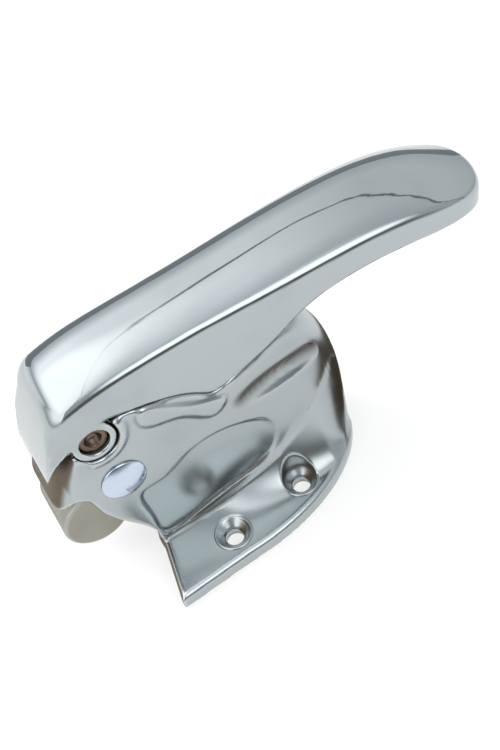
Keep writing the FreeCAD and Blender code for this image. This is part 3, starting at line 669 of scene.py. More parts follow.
@dataclass(frozen=True)
class Metal:
    """A metal finish with waves, smears, painted shade in creases and painted highlights on edges.

    Attributes:
        name: Name of the material.
        colour: Clean colour of the surface.
        dull: Colour in the duller patches.
        roughness: Roughness of the clean surface.
        smear: Roughness that fingers and dust add.
        wave: Height of the polishing waves, in millimetres.
        grain: Height of the fine grain, in millimetres.
        stretch: Stretch of the grain along the axes.
        side_shade: Colour of the painted shade and painted dark reflection on faces that point one
            way.
        side_shade_way: The way that those faces point.
    """

    name: str
    colour: Colour
    dull: Colour
    roughness: float
    smear: float
    wave: float
    grain: float
    stretch: Triple = (1.0, 1.0, 1.0)
    side_shade: Optional[Colour] = None
    side_shade_way: Triple = (0.0, 0.0, -1.0)

    def material(self) -> Material:
        """Build the material.

        Returns:
            The material, which reads the attributes "crease" and "stain" where a mesh has them.
        """
        material, tree = blank_material(self.name)
        where = tree.place()
        patches = tree.noise(where, 42.0, 3.0).step(0.45, 0.75)
        specks = tree.noise(where, 900.0, 2.0).step(0.68, 0.8)
        smears = tree.noise(tree.place((0.35, 1.0, 0.8)), 160.0, 4.0).step(0.4, 0.85)
        tone = tree.mix(patches * 0.45 + specks * 0.3, self.colour, self.dull)
        bend, stain = (
            tree.node("ShaderNodeAttribute", {"attribute_name": mark}, output="Fac")
            for mark in ("crease", "stain")
        )
        # Painted shade in hollows and creases, made uneven by the smears; it also adds roughness.
        crease_shade_mask = bend.step(0.12, 0.8) * (smears * 0.3 + 0.6)
        # Painted highlight: a lighter plate along convex edges.
        edge_highlight_mask = (0.0 - bend).step(0.2, 1.2) * 0.3
        tone = tree.mix(edge_highlight_mask, tone, EDGE_HIGHLIGHT)
        tone = tree.mix(crease_shade_mask, tone, CREASE_SHADE)
        # Painted shade in the leaf-shaped dimple, where the mesh carries it.
        tone = tree.mix(stain * 0.95, tone, DIMPLE_SHADE_COLOUR)
        roughness = self.roughness + self.smear * (smears * 0.6 + patches * 0.3 + specks * 0.4)
        roughness = roughness + crease_shade_mask * 0.2 + stain * 0.15
        # Painted shade on the faces that point one way, darker and rougher there.
        if self.side_shade is not None:
            facing = tree.node("ShaderNodeNewGeometry", output="Normal")
            dot = {"operation": "DOT_PRODUCT"}
            ahead = tree.node("ShaderNodeVectorMath", dot, {0: facing, 1: self.side_shade_way}, "Value")
            side_shade_mask = (ahead + patches * 0.06).step(0.68, 0.92)
            tone = tree.mix(side_shade_mask, tone, self.side_shade)
            roughness = roughness + side_shade_mask * 0.3
        wave = tree.noise(where, 38.0, 0.0)
        grain = tree.noise(tree.place(self.stretch), 1500.0, 3.0)
        height = wave * (self.wave * MM) + grain * (self.grain * MM)
        inputs = {"Base Color": tone, "Roughness": roughness, "Normal": tree.bump(height)}
        tree.surface(tree.node("ShaderNodeBsdfPrincipled", inputs={**inputs, "Metallic": 1.0}))
        return material


@dataclass(frozen=True)
class Moulded:
    """A moulded plastic or rubber finish.

    Attributes:
        name: Name of the material.
        colour: Colour of the clean surface.
        dust: Colour where dust has settled.
        roughness: Roughness of the clean surface.
        grain: Height of the mould's grain, in millimetres.
    """

    name: str
    colour: Colour
    dust: Colour
    roughness: float
    grain: float

    def material(self) -> Material:
        """Build the material.

        Returns:
            The material.
        """
        material, tree = blank_material(self.name)
        where = tree.place()
        dusty = tree.noise(where, 120.0, 4.0).step(0.5, 0.8)
        grain = tree.noise(where, 2400.0, 2.0)
        inputs = {
            "Base Color": tree.mix(dusty * 0.5, self.colour, self.dust),
            "Roughness": self.roughness + dusty * 0.15,
            "Normal": tree.bump(grain * (self.grain * MM)),
        }
        tree.surface(tree.node("ShaderNodeBsdfPrincipled", inputs=inputs))
        return material


@dataclass
class Finishes:
    """Every material of the latch."""

    chrome: Material
    polish: Material
    rivet: Material
    satin: Material
    pin: Material
    wire: Material
    brass: Material
    nylon: Material
    rubber: Material

    @classmethod
    def make(cls) -> "Finishes":
        """Build all of them.

        Returns:
            The materials.
        """
        plate, dull = (0.43, 0.465, 0.475), (0.345, 0.38, 0.385)
        # The body's faces that point forward and a little up get a painted dark brown reflection.
        front_reflection = {"side_shade": (0.15, 0.12, 0.09), "side_shade_way": (-0.95, 0.0, 0.31)}
        blue, deep = (0.56, 0.63, 0.74), (0.42, 0.48, 0.57)
        warm, shade = (0.33, 0.32, 0.275), (0.25, 0.235, 0.195)
        across = (1.0, 0.12, 1.0)
        finishes = (
            Metal("body_chrome", plate, dull, 0.21, 0.08, 0.1, 0.0008, **front_reflection),
            # The handle's faces that point down get painted shade.
            Metal("handle_chrome", plate, dull, 0.03, 0.06, 0.12, 0.0006, side_shade=(0.26, 0.25, 0.235)),
            Metal("rivet_plate", blue, deep, 0.14, 0.12, 0.02, 0.001),
            Metal("satin_tongue", warm, shade, 0.38, 0.18, 0.02, 0.004, across),
            # The pin's dark brown colour is painted shade of the recess that it sits in.
            Metal("turned_pin", (0.19, 0.14, 0.11), (0.07, 0.05, 0.04), 0.22, 0.25, 0.02, 0.003),
            Metal("spring_wire", (0.36, 0.36, 0.38), (0.2, 0.19, 0.18), 0.3, 0.2, 0.01, 0.002),
            Metal("turned_brass", (0.74, 0.58, 0.3), (0.5, 0.36, 0.16), 0.25, 0.2, 0.01, 0.002),
            Moulded("nylon", (0.82, 0.81, 0.75), (0.6, 0.57, 0.5), 0.45, 0.002),
            Moulded("pad_rubber", (0.035, 0.035, 0.038), (0.12, 0.115, 0.11), 0.7, 0.006),
        )
        return cls(*(finish.material() for finish in finishes))


def dress(piece: Object, material: Material) -> None:
    """Give an object one material."""
    piece.data.materials.clear()
    piece.data.materials.append(material)


def finish_piece(
    piece: Object,
    material: Material,
    body: Body,
    nodes: Sequence[str] = (),
) -> None:
    """Dress a piece, tie it to its body and say which nodes it stands for.

    Args:
        piece: The object.
        material: Its material.
        body: The body that it moves with.
        nodes: Nodes of the construction model that it replaces.
    """
    dress(piece, material)
    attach(piece, body.value)
    if nodes:
        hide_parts(*nodes)
    LOG.info("%s: %d faces on %s", piece.name, len(piece.data.polygons), body.value)


@dataclass
class BodyCasting(Block):
    """The plated body: flange, hull, dome, raised rib and the spaces inside.

    Attributes:
        half: Half width of the hull.
        bend_x: Where the hull's plan begins to close.
        rear_x: Rear end of the hull.
        foot_x: Front of the hull at the door.
        seam: Gap under the handle's lower edge.
        shell: Thickness of the dome's wall.
        pocket_x: Front end of the dome's pocket.
        dome_round: Round of the dome's rim and of the nose's tip.
        edge_round: Round of the hull's other edges.
        dome_run: Length over which the dome's rim grows round.
        tip_run: X where the nose's edges begin to grow round, and where they are.
        flange_half: Half width of the flange where its plan begins to close.
        flange_bend: Where the flange's plan begins to close.
        flange_rear: Rear end of the flange's plan.
        flare: How much the flange widens towards its front, for each millimetre.
        rim: Height of the flange's flat part.
        sweep: Further height of the flange's top at the dome.
        run: Width of the swept part beside the hull.
        bevel: Depth of the bevel round the flange, square to its face.
        bead_r: Radius of the bead between the hull and the flange.
        bead_x: Rear end of the bead.
        corner: Round of the corner over the flange, and how much it grows under the dome.
        corner_x: X where it begins to grow, and where it is full.
        corner_y: The same across the latch.
        rib_half: Half width over the raised ribs.
        panel_half: Half width between the recesses in the sides.
        lip: Radius of the lip round the handle's boss, its half width and its own round.
        flank_x: X of the middle of the rear flank.
        flank_z: Height of the middle of the rear flank.
        scoop_r: Radius of the ball that hollows the rear flank.
        scoop_depth: Depth of that hollow.
        leaf_bend: Radius of the long bend of the leaf-shaped dimple.
        leaf_r: Radius of the dimple's section.
        leaf_depth: Depth of the dimple.
        leaf_lean: Lean of the dimple, in degrees.
        leaf_shade: Height where the dimple's painted shade begins, and where it is full.
        cavity_half: Half width of the space for the tongue.
        ear_r: Radius of the ears for the pin.
        ear_half: Outer half width of the ears.
        boss_room: Radius of the scallops that the handle's bosses turn in.
        slot_half: Half width of the slot between the ears.
        pin_bore: Radius of the bore for the pin.
        rivet_bore: Radius of the bore for the rivet.
        pad_x: X of the rubber button.
        pad_r: Radius of the button's socket.
        pad_floor: Height of the socket's floor.
        low, high, step: The box of points, as in Block.
    """

    half: float = 13.3
    bend_x: float = 2.0
    rear_x: float = 41.0
    foot_x: float = -31.2
    seam: float = 0.45
    shell: float = 3.6
    pocket_x: float = -9.0
    dome_round: float = 8.5
    edge_round: float = 1.3
    dome_run: float = 10.0
    tip_run: Point = (-42.0, -48.0)
    flange_half: float = 32.4
    flange_bend: float = -12.0
    flange_rear: float = 40.0
    flare: float = 0.072
    rim: float = 5.0
    sweep: float = 26.0
    run: float = 12.0
    bevel: float = 0.8
    bead_r: float = 0.75
    bead_x: float = 13.0
    corner: Point = (1.2, 1.8)
    corner_x: Point = (26.0, 36.0)
    corner_y: Point = (5.0, 8.0)
    rib_half: float = 14.4
    panel_half: float = 12.3
    lip: Triple = (7.85, 12.9, 1.15)
    flank_x: float = 18.0
    flank_z: float = 38.0
    scoop_r: float = 300.0
    scoop_depth: float = 0.9
    leaf_bend: float = 62.0
    leaf_r: float = 6.4
    leaf_depth: float = 3.0
    leaf_lean: float = -3.0
    leaf_shade: Point = (39.5, 43.5)
    cavity_half: float = 10.3
    ear_r: float = 8.0
    ear_half: float = 10.25
    boss_room: float = 6.65
    slot_half: float = 7.45
    pin_bore: float = 4.25
    rivet_bore: float = 3.05
    pad_x: float = 17.0
    pad_r: float = 4.05
    pad_floor: float = 56.4
    low: Triple = (-54.0, -36.5, -2.0)
    high: Triple = (43.5, 36.5, 69.0)
    step: float = 0.59

    def side_outline(self) -> list[Point]:
        """Side view of the hull, run on below the door so that its foot stays open.

        Returns:
            Corners of the outline.
        """
        start = [(self.foot_x, 9.4), (-33.5, 14.6)]
        throat = smooth_line(start + around(PIN, (-2.1, -36.5), (-9.0, -21.8)))
        lip = around(PIN, (-17.0, -22.4))
        nose = around(PIN, (-17.0, -19.4), (-12.7, -10.4), (-8.4, -4.0), (-5.8, -0.9))
        shoulder = [(px, pz - self.seam) for px, pz in HANDLE_LOWER[3:9]]
        dome = [(20.0, 58.6), (28.0, 55.5), (35.0, 47.8), (41.0, 36.5), (48.0, 20.0)]
        top = smooth_line(shoulder + dome, last_slope=(0.4, -1.0))
        return [(self.foot_x, -20.0)] + throat + lip + smooth_line(nose) + top + [(60.0, -20.0)]

    def plan_outline(self) -> list[Point]:
        """Plan of the hull, run on past the nose."""
        rear = half_ellipse(self.bend_x, self.rear_x, self.half)
        return [(-80.0, self.half), (-80.0, -self.half)] + rear

    def flange_outline(self) -> list[Point]:
        """Plan of the flange, with its front corners swept forward.

        Returns:
            Corners of the outline.
        """
        front = [(self.flange_bend, self.flange_half), (-35.6, 34.1), (self.foot_x, self.half)]
        mirror = [(x, -y) for x, y in reversed(front)]
        rear = half_ellipse(self.flange_bend, self.flange_rear, self.flange_half)
        return front + mirror[:-1] + rear

    def half_width(self, x: Field) -> Field:
        """Half width of the hull at each X."""
        return self.half * np.sqrt(1.0 - ramp(x, self.bend_x, self.rear_x) ** 2)

    def skirt(self) -> Field:
        """Distance to the flange, with its top swept up to the hull and the rear.

        Returns:
            The distances.
        """
        x, out, z = self.x, self.out, self.z
        wall = self.half_width(x)
        edge = self.flange_half * np.sqrt(1.0 - ramp(x, self.flange_bend, self.flange_rear) ** 2)
        edge = edge + np.maximum(self.flange_bend - x, 0.0) * self.flare
        run = np.clip(np.minimum(self.run, edge - wall), 2.0, None)
        # The sweep runs on a little way into the hull, so that the corner between them is clean.
        inward = -0.15 * ramp(x, 24.0, 14.0)
        fall = 1.0 - np.clip((out - wall) / run, inward, 1.0)
        height = self.rim + self.sweep * ramp(x, self.foot_x, self.rear_x) ** 2 * fall ** 2
        top = self.under(height)
        plan = self.plan_view(self.flange_outline())
        bevel = (top + plan) * math.sqrt(0.5) + self.bevel
        # The swept part ends just inside the dome's rear, and the foot reaches a little past it.
        rear = x - self.rear_x + 2.0 - 2.5 * ramp(z, 9.0, 3.0)
        return worked(top, (common, plan, FINE), (common, bevel, FINE), (common, rear, SOFT))

    def bead(self, hull: Field, skirt: Field) -> Field:
        """Thin bead that follows the corner between the hull and the flange."""
        tube = common(np.hypot(hull, skirt) - self.bead_r, self.x - self.bead_x, 3.0)
        return common(tube, 4.4 - self.z, CLEAN)

    def rib(self) -> Field:
        """Distance to the raised rib along the lower edge of the handle.

        Returns:
            The distances.
        """
        upper = around(PIN, (13.0, 2.4), (21.0, -0.8), (31.0, -6.6), (36.4, -10.0))
        lower = around(PIN, (33.6, -13.6), (23.0, -7.6), (12.6, -2.6))
        outline = self.side_view(smooth_line(upper + lower, closed=True))
        return common(outline, self.between(self.ear_half, self.rib_half), 1.6)

    def panel(self) -> Field:
        """Distance to the space of the shallow recess in each side.

        Returns:
            The distances.
        """
        upper = around(PIN, (6.0, -28.5), (12.0, -27.9), (20.0, -24.0), (28.5, -21.9))
        rear = around(PIN, (38.0, -23.6), (47.0, -31.0))
        lower = [(10.0, 17.0), (-1.0, 12.2), (-16.0, 9.0), (-29.2, 8.0), (-30.6, 18.0)]
        line = smooth_line(upper + rear + lower, closed=True)
        return common(self.side_view(line), self.panel_half - self.out, SOFT)

    def collar(self) -> Field:
        """Distance to the raised lip round the lower rear of the handle's boss.

        Returns:
            The distances.
        """
        radius, half, round_r = self.lip
        x, z = self.x - PIN[0], self.z - PIN[1]
        ring = np.hypot(np.hypot(x, z) - radius, self.out - half) - round_r
        below = z * math.cos(math.radians(20.0)) - x * math.sin(math.radians(20.0))
        behind = -x * math.cos(math.radians(15.0)) - 3.5
        return worked(ring, (common, below, SOFT), (common, behind, SOFT))

    def flank(self) -> tuple[Field, Field]:
        """Distances to the hollows in the rear flank.

        Returns:
            The distances to the wide scoop and to the leaf-shaped dimple.
        """
        reach = self.rear_x - self.bend_x
        share = (self.flank_x - self.bend_x) / reach
        slope = -self.half * share / math.sqrt(1.0 - share ** 2) / reach
        normal = np.array([-slope, 1.0, 0.0]) / math.hypot(slope, 1.0)
        middle = np.array([self.flank_x, self.half * math.sqrt(1.0 - share ** 2), self.flank_z])
        offset = self.offset(middle + normal * (self.scoop_r - self.scoop_depth))
        scoop = np.sqrt(sum(part ** 2 for part in offset)) - self.scoop_r
        lean = math.radians(self.leaf_lean)
        across = np.cross([math.cos(lean), 0.0, math.sin(lean)], normal)
        lift = self.leaf_bend + self.leaf_r - self.leaf_depth
        offset = self.offset(middle + np.array([1.0, 0.0, 4.5]) + normal * lift)
        depth = sum(part * length for part, length in zip(offset, across))
        flat = np.sqrt(np.maximum(sum(part ** 2 for part in offset) - depth ** 2, 0.0))
        return scoop, np.hypot(flat - self.leaf_bend, depth) - self.leaf_r

    def screw_holes(self) -> Field:
        """Distance to the spaces of the four countersunk screw holes.

        Returns:
            The distances.
        """
        width = np.clip(SCREW_R + (self.z - 3.0), SCREW_R, SINK_R)
        holes = [np.hypot(self.x - x, self.out - y) - width for x, y in SCREWS]
        return np.minimum(*holes)

    def mechanism(self) -> Field:
        """Distance to the space for the tongue and the slot for the handle's hub.

        Returns:
            The distances.
        """
        roof = [(-60.0, -30.0), (-13.0, -30.0), (-13.0, 49.2), (-42.5, 49.2), (-45.6, 46.0)]
        mouth = around(PIN, (-12.9, -17.8), (-13.1, -28.0), (-24.0, -28.0))
        cavity = common(self.side_view(roof + mouth), self.out - self.cavity_half, SOFT)
        slot = self.side_view([(-43.0, 48.0), (-13.0, 48.0), (-13.0, 90.0), (-43.0, 90.0)])
        return np.minimum(cavity, np.maximum(slot, self.out - self.slot_half))

    def make(self, finishes: Finishes) -> None:
        """Build the casting and dress it.

        Args:
            finishes: The materials of the latch.
        """
        x, out, z = self.x, self.out, self.z
        side = self.side_view(self.side_outline())
        plan = self.plan_view(self.plan_outline())
        dome = ramp(x, self.bend_x, self.bend_x + self.dome_run)
        ends = np.maximum(dome, ramp(x, *self.tip_run))
        hull = common(side, plan, self.edge_round + (self.dome_round - self.edge_round) * ends)
        pocket = np.maximum(hull + self.shell, self.pocket_x - x)
        scoop, leaf = self.flank()
        hull = worked(hull, (cut, self.panel(), SOFT), (cut, scoop, WIDE), (cut, leaf, FINE))
        skirt = self.skirt()
        growth = ramp(x, *self.corner_x) * ramp(out, *self.corner_y)
        socket = np.hypot(x - self.pad_x, self.y) - self.pad_r
        casting = worked(
            hull,
            (union, skirt, self.corner[0] + self.corner[1] * growth),
            (union, self.bead(hull, skirt), FINE),
            (union, self.rib(), WIDE),
            (union, self.collar(), SOFT),
            (union, np.maximum(self.barrel(PIN, self.ear_r), out - self.ear_half), CRISP),
            (cut, np.maximum(self.barrel(PIN, self.boss_room), self.ear_half - out), FINE),
            (cut, pocket, EASED),
            (cut, self.mechanism(), EASED),
            (cut, self.barrel(PIN, self.pin_bore), FINE),
            (cut, self.barrel(RIVET, self.rivet_bore), FINE),
            (cut, np.maximum(socket, self.pad_floor - z), FINE),
            (cut, self.screw_holes(), CLEAN),
            (common, -z, CLEAN),
        )
        # Painted shade in the upper part of the leaf-shaped dimple, for the finish to read.
        upper = ramp(z + (x - self.flank_x) * 0.05, *self.leaf_shade)
        piece = self.mesh("body_casting", casting, ramp(leaf, 0.7, 0.0) * upper)
        finish_piece(piece, finishes.chrome, Body.BASE, ["body"])


@dataclass
class HandleCasting(Block):
    """The arched paddle handle: crowned top, side walls, bosses, hub and lugs.

    Attributes:
        half: Half width between the nose and the paddle.
        paddle_half: Half width of the paddle.
        crown: Rise of the top over its side edges.
        wall: Thickness of the shell.
        tip_x: Rear end of the paddle.
        edge_round: Round between the top and the sides.
        nose_round: Further round of the edge over the nose.
        boss_r: Radius of the bosses and of the half hubs.
        boss_inner: Distance of the bosses from the plane of symmetry.
        hub: Inner and outer distance of the half hubs from the plane of symmetry.
        lug_outer: Outer distance of the lugs from the plane of symmetry.
        lug_r: Radius of the lugs round the lift pin.
        pin_r: Radius of the pin's bore.
        lift_r: Radius of the lift pin's bore.
        cover: How deep the hub and the cross ribs start under the outer face.
        rib_half: Half thickness of the cross ribs.
        low, high, step: The box of points, as in Block.
    """

    half: float = 13.6
    paddle_half: float = 16.0
    crown: float = 3.98
    wall: float = 2.8
    tip_x: float = 90.5
    edge_round: float = 1.7
    nose_round: float = 3.0
    boss_r: float = 6.2
    boss_inner: float = 10.8
    hub: Point = (3.3, 7.3)
    lug_outer: float = 6.3
    lug_r: float = 3.3
    pin_r: float = 4.2
    lift_r: float = 1.6
    cover: float = 1.2
    rib_half: float = 1.5
    low: Triple = (-53.5, -17.5, 37.0)
    high: Triple = (92.5, 17.5, 84.0)
    step: float = 0.47

    def top(self) -> Field:
        """Distance to the space under the crowned top.

        Returns:
            The distances.
        """
        front = around(PIN, (-24.0, 6.0), (-14.0, 10.0), (-4.0, 14.0), (8.0, 16.6), (26.0, 17.4))
        rear = around(PIN, (48.0, 18.4), (71.0, 20.2), (92.0, 20.4), (108.0, 18.4), (119.0, 14.4))
        line = clamped_spline(front + rear + [(self.tip_x + 6.0, PIN[1] + 7.0)])
        reach = [step * self.paddle_half * 1.3 / 3 for step in range(-3, 4)]
        arch = clamped_spline([(y, self.crown * (1.0 - (y / self.half) ** 2)) for y in reach])
        height = np.interp(self.x, line[:, 0], line[:, 1])
        return self.under(height + np.interp(self.y, arch[:, 0], arch[:, 1]))

    def plan(self) -> Field:
        """Distance to the plan outline.

        Returns:
            The distances.
        """
        half, wide, tip = self.half, self.paddle_half, self.tip_x
        front = [(-58.0, 8.2), (-52.0, 10.8), (-44.0, half - 0.5), (-36.0, half), (-2.0, half)]
        rear = [(24.0, (half + wide) / 2), (tip - 30.0, wide), (tip - 12.0, wide - 0.8)]
        end = [(tip - 3.5, wide - 5.0), (tip, 0.0)]
        far = smooth_line(front + rear + end, last_slope=(0.0, -1.0))
        near = [(px, -py) for px, py in reversed(far[:-1])]
        return self.plan_view(far + near)

    @staticmethod
    def front(shift: float) -> list[Point]:
        """Front of the handle in side view, from the tip of the cheek up."""
        points = around(PIN, (-15.9, -9.8), (-13.3, -1.3), (-9.6, 8.7), (-7.2, 14.2))
        return [(px + shift, pz) for px, pz in smooth_line(points)]

    def side(self) -> Field:
        """Distance to the side view, above its lower edge.

        Returns:
            The distances.
        """
        lower = smooth_line(HANDLE_LOWER)
        high = PIN[1] + 40.0
        front = self.front(0.0)
        outline = lower + [(120.0, lower[-1][1]), (120.0, high), (front[-1][0] + 2.0, high)]
        return self.side_view(outline + front[:0:-1])

    def hollow(self, top: Field, plan: Field) -> Field:
        """Distance to the space inside the handle, which is open below.

        Args:
            top: Distances to the space under the crowned top.
            plan: Distances to the plan outline.

        Returns:
            The distances.
        """
        front = self.front(self.wall * 1.05)
        low, high = PIN[1] - 40.0, PIN[1] + 60.0
        outline = [(front[0][0], low), (200.0, low), (200.0, high), (front[-1][0] + 2.0, high)]
        behind = self.side_view(outline + front[::-1])
        return common(common(top + self.wall, plan + self.wall, 2.0), behind, WIDE)

    def hubs(self) -> Field:
        """Distance to the half hubs with their webs, and to the lugs for the lift pin.

        Returns:
            The distances.
        """
        web = around(PIN, (-5.0, 0.0), (5.0, 0.0), (7.2, 16.0), (-5.0, 16.0))
        lug = around(PIN, (2.0, 5.2), (2.0, -5.2))
        lug += around(LIFT, (-3.7, 9.0), (-3.3, 0.0), (3.3, 0.0), (3.9, 9.0), (-0.5, 16.5))
        hubs = np.minimum(self.barrel(PIN, self.boss_r), self.side_view(web))
        lugs = np.minimum(self.barrel(LIFT, self.lug_r), self.side_view(lug))
        hubs = common(hubs, self.between(*self.hub), CLEAN)
        lugs = common(lugs, self.between(self.hub[0], self.lug_outer), CLEAN)
        return union(hubs, lugs, FINE)

    def make(self, finishes: Finishes) -> None:
        """Build the casting and dress it.

        Args:
            finishes: The materials of the latch.
        """
        top, plan, side = self.top(), self.plan(), self.side()
        nose = ramp(self.x, -24.0, -32.0) * ramp(self.z, 60.0, 66.0)
        outer = common(common(top, plan, self.edge_round), side, WIDE + self.nose_round * nose)
        inside = outer + self.cover
        boss = self.between(self.boss_inner, self.half)
        ribs = [
            np.maximum(np.abs(self.x - x) - self.rib_half, low - self.z)
            for x, low in ((17.0, 61.7), (51.0, PIN[1] + 14.0))
        ]
        casting = worked(
            outer,
            (cut, self.hollow(top, plan), SOFT),
            (union, common(self.barrel(PIN, self.boss_r), boss, 0.9), SOFT),
            (union, common(self.hubs(), inside, CLEAN), FINE),
            (union, common(ribs[0], inside, CLEAN), CLEAN),
            (union, common(ribs[1], inside, CLEAN), CLEAN),
            (cut, self.barrel(PIN, self.pin_r), CLEAN),
            (cut, self.barrel(LIFT, self.lift_r), CRISP),
        )
        piece = self.mesh("handle_casting", casting)
        finish_piece(piece, finishes.polish, Body.LEVER, ["handle"])


@dataclass
class Tongue(Block):
    """The rounded tongue under the nose.

    Attributes:
        lobe_r: Radius of the lobe.
        hub_r: Radius of the hub on the rivet.
        half: Half width.
        coil_room: Radius of the room for the spring, its middle and its half width.
        tail_half: Half width of the tail.
        bore: Radius of the bore.
        low, high, step: The box of points, as in Block.
    """

    lobe_r: float = 9.8
    hub_r: float = 6.2
    half: float = 9.75
    coil_room: Triple = (6.5, 5.43, 2.83)
    tail_half: float = 2.6
    bore: float = 4.55
    low: Triple = (-56.0, -11.0, 13.5)
    high: Triple = (-16.0, 11.0, 48.0)
    step: float = 0.34

    def arm(self) -> list[Point]:
        """Outline between the hub and the lobe, along their shared tangents.

        Returns:
            The four corners.
        """
        heading = math.atan2(LOBE[1] - RIVET[1], LOBE[0] - RIVET[0])
        lean = math.acos((self.hub_r - self.lobe_r) / math.dist(LOBE, RIVET))
        corners = []
        for side in (1, -1):
            x, z = math.cos(heading + side * lean), math.sin(heading + side * lean)
            hub = around(RIVET, (x * self.hub_r, z * self.hub_r))
            lobe = around(LOBE, (x * self.lobe_r, z * self.lobe_r))
            corners += (hub + lobe)[::side]
        return corners

    def make(self, finishes: Finishes) -> None:
        """Build the tongue and dress it.

        Args:
            finishes: The materials of the latch.
        """
        side = self.side_view(self.arm())
        side = np.minimum(side, self.barrel(LOBE, self.lobe_r))
        side = np.minimum(side, self.barrel(RIVET, self.hub_r))
        radius, middle, half = self.coil_room
        room = np.maximum(self.barrel(RIVET, radius), np.abs(self.y - middle) - half)
        tail = [RIVET, (-26.9, 44.43), (-17.9, 43.03), (-17.9, 46.5), (-34.4, 45.7)]
        tail_side = self.side_view(tail)
        field = worked(
            side,
            (common, self.out - self.half, 1.4),
            (cut, room, FINE),
            (union, common(tail_side, self.out - self.tail_half, CLEAN), CLEAN),
            (cut, self.barrel(RIVET, self.bore), FINE),
        )
        piece = self.mesh("tongue_piece", field)
        finish_piece(piece, finishes.satin, Body.BOLT, ["tongue"])


@dataclass
class Springs:
    """The two torsion springs, as wire along a path.

    Attributes:
        pin_coil: Coil radius and wire radius of the handle's spring.
        pin_turns: Turns of the handle's spring.
        tongue_coil: Coil radius and wire radius of the tongue's spring.
        tongue_turns: Turns of the tongue's spring down to its rest.
        tongue_y: Where the tongue's spring begins.
        rear_x: Rear end of both rear legs.
        pitch_ratio: Distance between turns over the wire's thickness.
    """

    pin_coil: Point = (5.0, 0.5)
    pin_turns: float = 4.25
    tongue_coil: Point = (5.4, 0.6)
    tongue_turns: float = 2.75
    tongue_y: float = 3.5
    rear_x: float = -11.4
    pitch_ratio: float = 1.06

    @staticmethod
    def wire_tree() -> NodeTree:
        """Geometry nodes that lay a round wire along a curve.

        Returns:
            The tree.
        """
        kinds = {"Path": "Geometry", "Wire Radius": "Float", "Finish": "Material"}
        tree, given = Tree.group("round_wire", kinds)
        inputs = {"Resolution": 12, "Radius": given["Wire Radius"]}
        circle = tree.node("GeometryNodeCurvePrimitiveCircle", inputs=inputs)
        inputs = {"Curve": given["Path"], "Profile Curve": circle, "Fill Caps": True}
        wire = tree.node("GeometryNodeCurveToMesh", inputs=inputs)
        return tree.close(wire, given["Finish"])

    def coil(self, centre: Point, size: Point, y_from: float, turns: float) -> list[Vector]:
        """Points of a spring about Y, from its rear leg to the end of its coil.

        Args:
            centre: Centre of the coil in side view.
            size: Coil radius and wire radius.
            y_from: Y of the rear leg.
            turns: Number of turns.

        Returns:
            The points, in millimetres.
        """
        pitch = 2 * size[1] * self.pitch_ratio
        points = [Vector((self.rear_x, y_from, centre[1] - size[0]))]
        for t in np.linspace(0.0, turns, int(turns * 28)):
            angle = -math.pi / 2 - 2 * math.pi * t
            x, z = centre[0] + size[0] * math.cos(angle), centre[1] + size[0] * math.sin(angle)
            points.append(Vector((x, y_from + pitch * t, z)))
        return points

    @staticmethod
    def lay(
        node: str, path: list[Vector], radius: float, tree: NodeTree, finishes: Finishes
    ) -> None:
        """Lay the wire of one spring along its path and dress it.

        Args:
            node: The spring's node in the construction model.
            path: Points of the wire's centre line, in millimetres.
            radius: Radius of the wire, in millimetres.
            tree: The tree that wire_tree built.
            finishes: The materials of the latch.
        """
        curve = bpy.data.curves.new(node + "_wire", "CURVE")
        curve.dimensions = "3D"
        spline = curve.splines.new("POLY")
        spline.points.add(len(path) - 1)
        for point, place in zip(spline.points, path):
            point.co = (*(place * MM), 1.0)
        piece = bpy.data.objects.new(node + "_wire", curve)
        bpy.context.scene.collection.objects.link(piece)
        piece = run_tree(piece, tree, {"Wire Radius": radius * MM, "Finish": finishes.wire})
        finish_piece(piece, finishes.wire, Body.BASE, [node])

    def make(self, finishes: Finishes) -> None:
        """Build both springs and dress them.

        Args:
            finishes: The materials of the latch.
        """
        tree = self.wire_tree()
        wire = self.pin_coil[1]
        half = self.pin_turns * wire * self.pitch_ratio
        leg = Vector((PIN[0] - 3.6, half, PIN[1] + 10.0))
        path = self.coil(PIN, self.pin_coil, -half, self.pin_turns)
        path += [leg, leg + Vector((0.0, 2.6, 0.0))]
        self.lay("handle_spring", path, wire, tree, finishes)
        flank = math.atan2(LOBE[1] - RIVET[1], LOBE[0] - RIVET[0]) + math.pi / 2
        turns = self.tongue_turns - flank / (2 * math.pi)
        path = self.coil(RIVET, self.tongue_coil, self.tongue_y, turns)
        path.append(path[-1] + Vector((math.sin(flank), 0.0, -math.cos(flank))) * 12.0)
        self.lay("tongue_spring", path, self.tongue_coil[1], tree, finishes)


